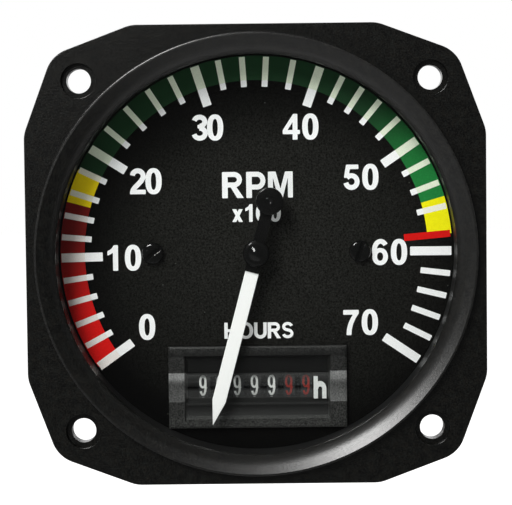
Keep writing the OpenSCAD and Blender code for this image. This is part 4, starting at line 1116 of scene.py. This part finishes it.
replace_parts(make_screws(), "dial_screws")
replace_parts(make_blade(), "pointer_blade")
turned_piece("hub_cap", 0, 0, cap_profile(), "pointer_black", CAP_BLACK)
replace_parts(make_weight(), "counterweight")

STUD_X = (-15, 0, 15)
STUD_Z = 14
STUD_R = 2
STUD_TIP = 58.004
STUD_SIDES = 40
TIP_BREAK = 0.5
TAIL_R, TAIL_FROM, TAIL_BREAK = 1, 31.4, 0.15
COLLAR_R, COLLAR_FROM, COLLAR_TO, COLLAR_BREAK = 3.2, 33.604, 46.004, 0.2
PLAIN_TO = COLLAR_TO + 0.6
THREAD_FROM = COLLAR_TO + 0.7
THREAD_PITCH = 0.7
THREAD_DEEP = 0.3
THREAD_ROWS = math.ceil((STUD_TIP - THREAD_FROM) / THREAD_PITCH * 8)
# The steepness of a tooth's flanks, and the share of its depth that is flat at the root
FLANK, ROOT = 2.2, 0.05


def thread_radius(depth, turn):
    """Radius of the rolled thread at a depth and a share of a turn, with the tip's edge broken."""
    phase = (depth / THREAD_PITCH + turn) % 1
    tooth = min(1, max(0, FLANK * abs(phase - 0.5) - ROOT))
    core = STUD_R - TIP_BREAK
    return max(core, min(STUD_R - THREAD_DEEP * (1 - tooth), core + STUD_TIP - depth))


def make_studs():
    """Three studs, each with a tail through the board, a collar behind it, and a rolled thread."""
    made = Builder()
    plain = [(TAIL_R - TAIL_BREAK, TAIL_FROM), (TAIL_R, TAIL_FROM + TAIL_BREAK), (TAIL_R, COLLAR_FROM),
             (COLLAR_R - COLLAR_BREAK, COLLAR_FROM), (COLLAR_R, COLLAR_FROM + COLLAR_BREAK),
             (COLLAR_R, COLLAR_TO), (STUD_R, COLLAR_TO), (STUD_R, PLAIN_TO)]
    unit_circle = circle(0, 0, 1, STUD_SIDES)
    for x in STUD_X:
        sections = [(circle(x, STUD_Z, r, STUD_SIDES), depth) for r, depth in plain]
        for row in range(THREAD_ROWS + 1):
            depth = THREAD_FROM + (STUD_TIP - THREAD_FROM) * row / THREAD_ROWS
            radii = [thread_radius(depth, i / STUD_SIDES) for i in range(STUD_SIDES)]
            sections.append(([(x + r * c, STUD_Z + r * s) for r, (c, s) in zip(radii, unit_circle)], depth))
        made.tube(sections)
    return smooth(made.piece("threaded_studs", "case", "brass"), 35)


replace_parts(make_studs(), "terminal_studs")


# Floor, light and camera

# The floor's half width, front, back and height, in metres
FLOOR_X, FLOOR_FRONT, FLOOR_BACK, FLOOR_Z = 1.5, -0.03, 2.5, -0.1


def stage_floor():
    """A pale floor, white to the camera where it is lit, which keeps the shadow."""
    mesh = bpy.data.meshes.new("floor")
    corners = [(x, y, FLOOR_Z) for x, y in rectangle(-FLOOR_X, FLOOR_X, FLOOR_FRONT, FLOOR_BACK)]
    mesh.from_pydata(corners, [], [(0, 1, 2, 3)])
    mat, tree, shader = new_material("pale_floor")
    path = node(tree, "LightPath").outputs
    seen = maths("MAXIMUM", path["Is Camera Ray"], path["Is Transmission Ray"])
    glow = between(away(tree, 0, 0, 0), 140, 320, 0.5, 0.95, "SMOOTHSTEP")
    cloud = vary(noise(tree, 400, 2), 0, 1)
    feed(shader, {"Base Color": mixed(cloud, 0.84, 0.87), "Roughness": 0.9, "Specular IOR Level": 0.1,
                  "Emission Color": 1, "Emission Strength": maths("MULTIPLY", seen, glow)})
    mesh.materials.append(mat)
    place_in_scene("floor", mesh)


def make_world():
    """White walls as seen. The object mirrors white from behind and little from the camera's side."""
    world = bpy.data.worlds.new("studio")
    bpy.context.scene.world = world
    world.use_nodes = True
    tree = world.node_tree
    path = node(tree, "LightPath").outputs
    way = node(tree, "SeparateXYZ", {0: node(tree, "TexCoord").outputs["Generated"]}).outputs
    low = maths("MULTIPLY", way["Z"], -0.89)
    low_left = maths("MULTIPLY_ADD", way["X"], -0.45, low)
    low_left = between(low_left, 0.2, 0.65, 0, 1.15, "SMOOTHSTEP")
    ahead = between(way["Y"], -0.75, -0.95, 0.1, 0.55, "SMOOTHSTEP")
    behind = between(way["Y"], -0.25, 0.45, 0.05, 1, "SMOOTHSTEP")
    behind = maths("MULTIPLY_ADD", low_left, 0.22, behind)
    mirrored = maths("MAXIMUM", path["Is Glossy Ray"], path["Is Transmission Ray"])
    fill = maths("MULTIPLY", maths("SUBTRACT", 1, mirrored), maths("ADD", low_left, ahead))
    light = maths("MULTIPLY_ADD", mirrored, behind, fill)
    feed(tree.nodes["Background"], {"Color": 1, "Strength": maths("MAXIMUM", light, path["Is Camera Ray"])})


KEY_TILT = math.radians(42)
KEY_LEFT = math.radians(32)
KEY_AWAY = 0.9
KEY_LONG = 2 * KEY_AWAY * math.tan(math.radians(20))
KEY_WIDE = 2 * KEY_AWAY * math.tan(math.radians(8))
KEY_POWER = 8.3
KEY_COLOUR = (1, 0.995, 0.985)


def soft_box():
    """A tall oval soft box ahead of the dial, towards the upper left, that faces the object."""
    data = bpy.data.lights.new("key", "AREA")
    data.shape = "ELLIPSE"
    data.size = KEY_WIDE
    data.size_y = KEY_LONG
    data.energy = KEY_POWER
    data.color = KEY_COLOUR
    lamp = place_in_scene("key", data)
    leaned = Matrix.Rotation(-KEY_LEFT, 4, "Y") @ Matrix.Rotation(math.pi / 2 - KEY_TILT, 4, "X")
    lamp.matrix_world = leaned @ Matrix.Translation((0, 0, KEY_AWAY))


CAMERA_AT = (1.48, -345.83, 18.405)
FOCAL_PX = 1934.15
IMAGE_W = 512
SENSOR_W = 36
YAW, PITCH, ROLL = -0.00434, 0.05186, 0.01111


def make_camera():
    """The photograph's viewpoint."""
    data = bpy.data.cameras.new("camera")
    data.sensor_width = SENSOR_W
    data.lens = FOCAL_PX / IMAGE_W * SENSOR_W
    data.clip_start = 0.01
    data.clip_end = 50
    eye = place_in_scene("camera", data)
    level = Matrix.Translation(Vector(CAMERA_AT) * MM) @ Matrix.Rotation(-YAW, 4, "Z")
    tilted = level @ Matrix.Rotation(math.pi / 2 - PITCH, 4, "X")
    eye.matrix_world = tilted @ Matrix.Rotation(-ROLL, 4, "Z")
    bpy.context.scene.camera = eye


stage_floor()
make_world()
soft_box()
make_camera()
bpy.context.scene.view_settings.view_transform = "Standard"
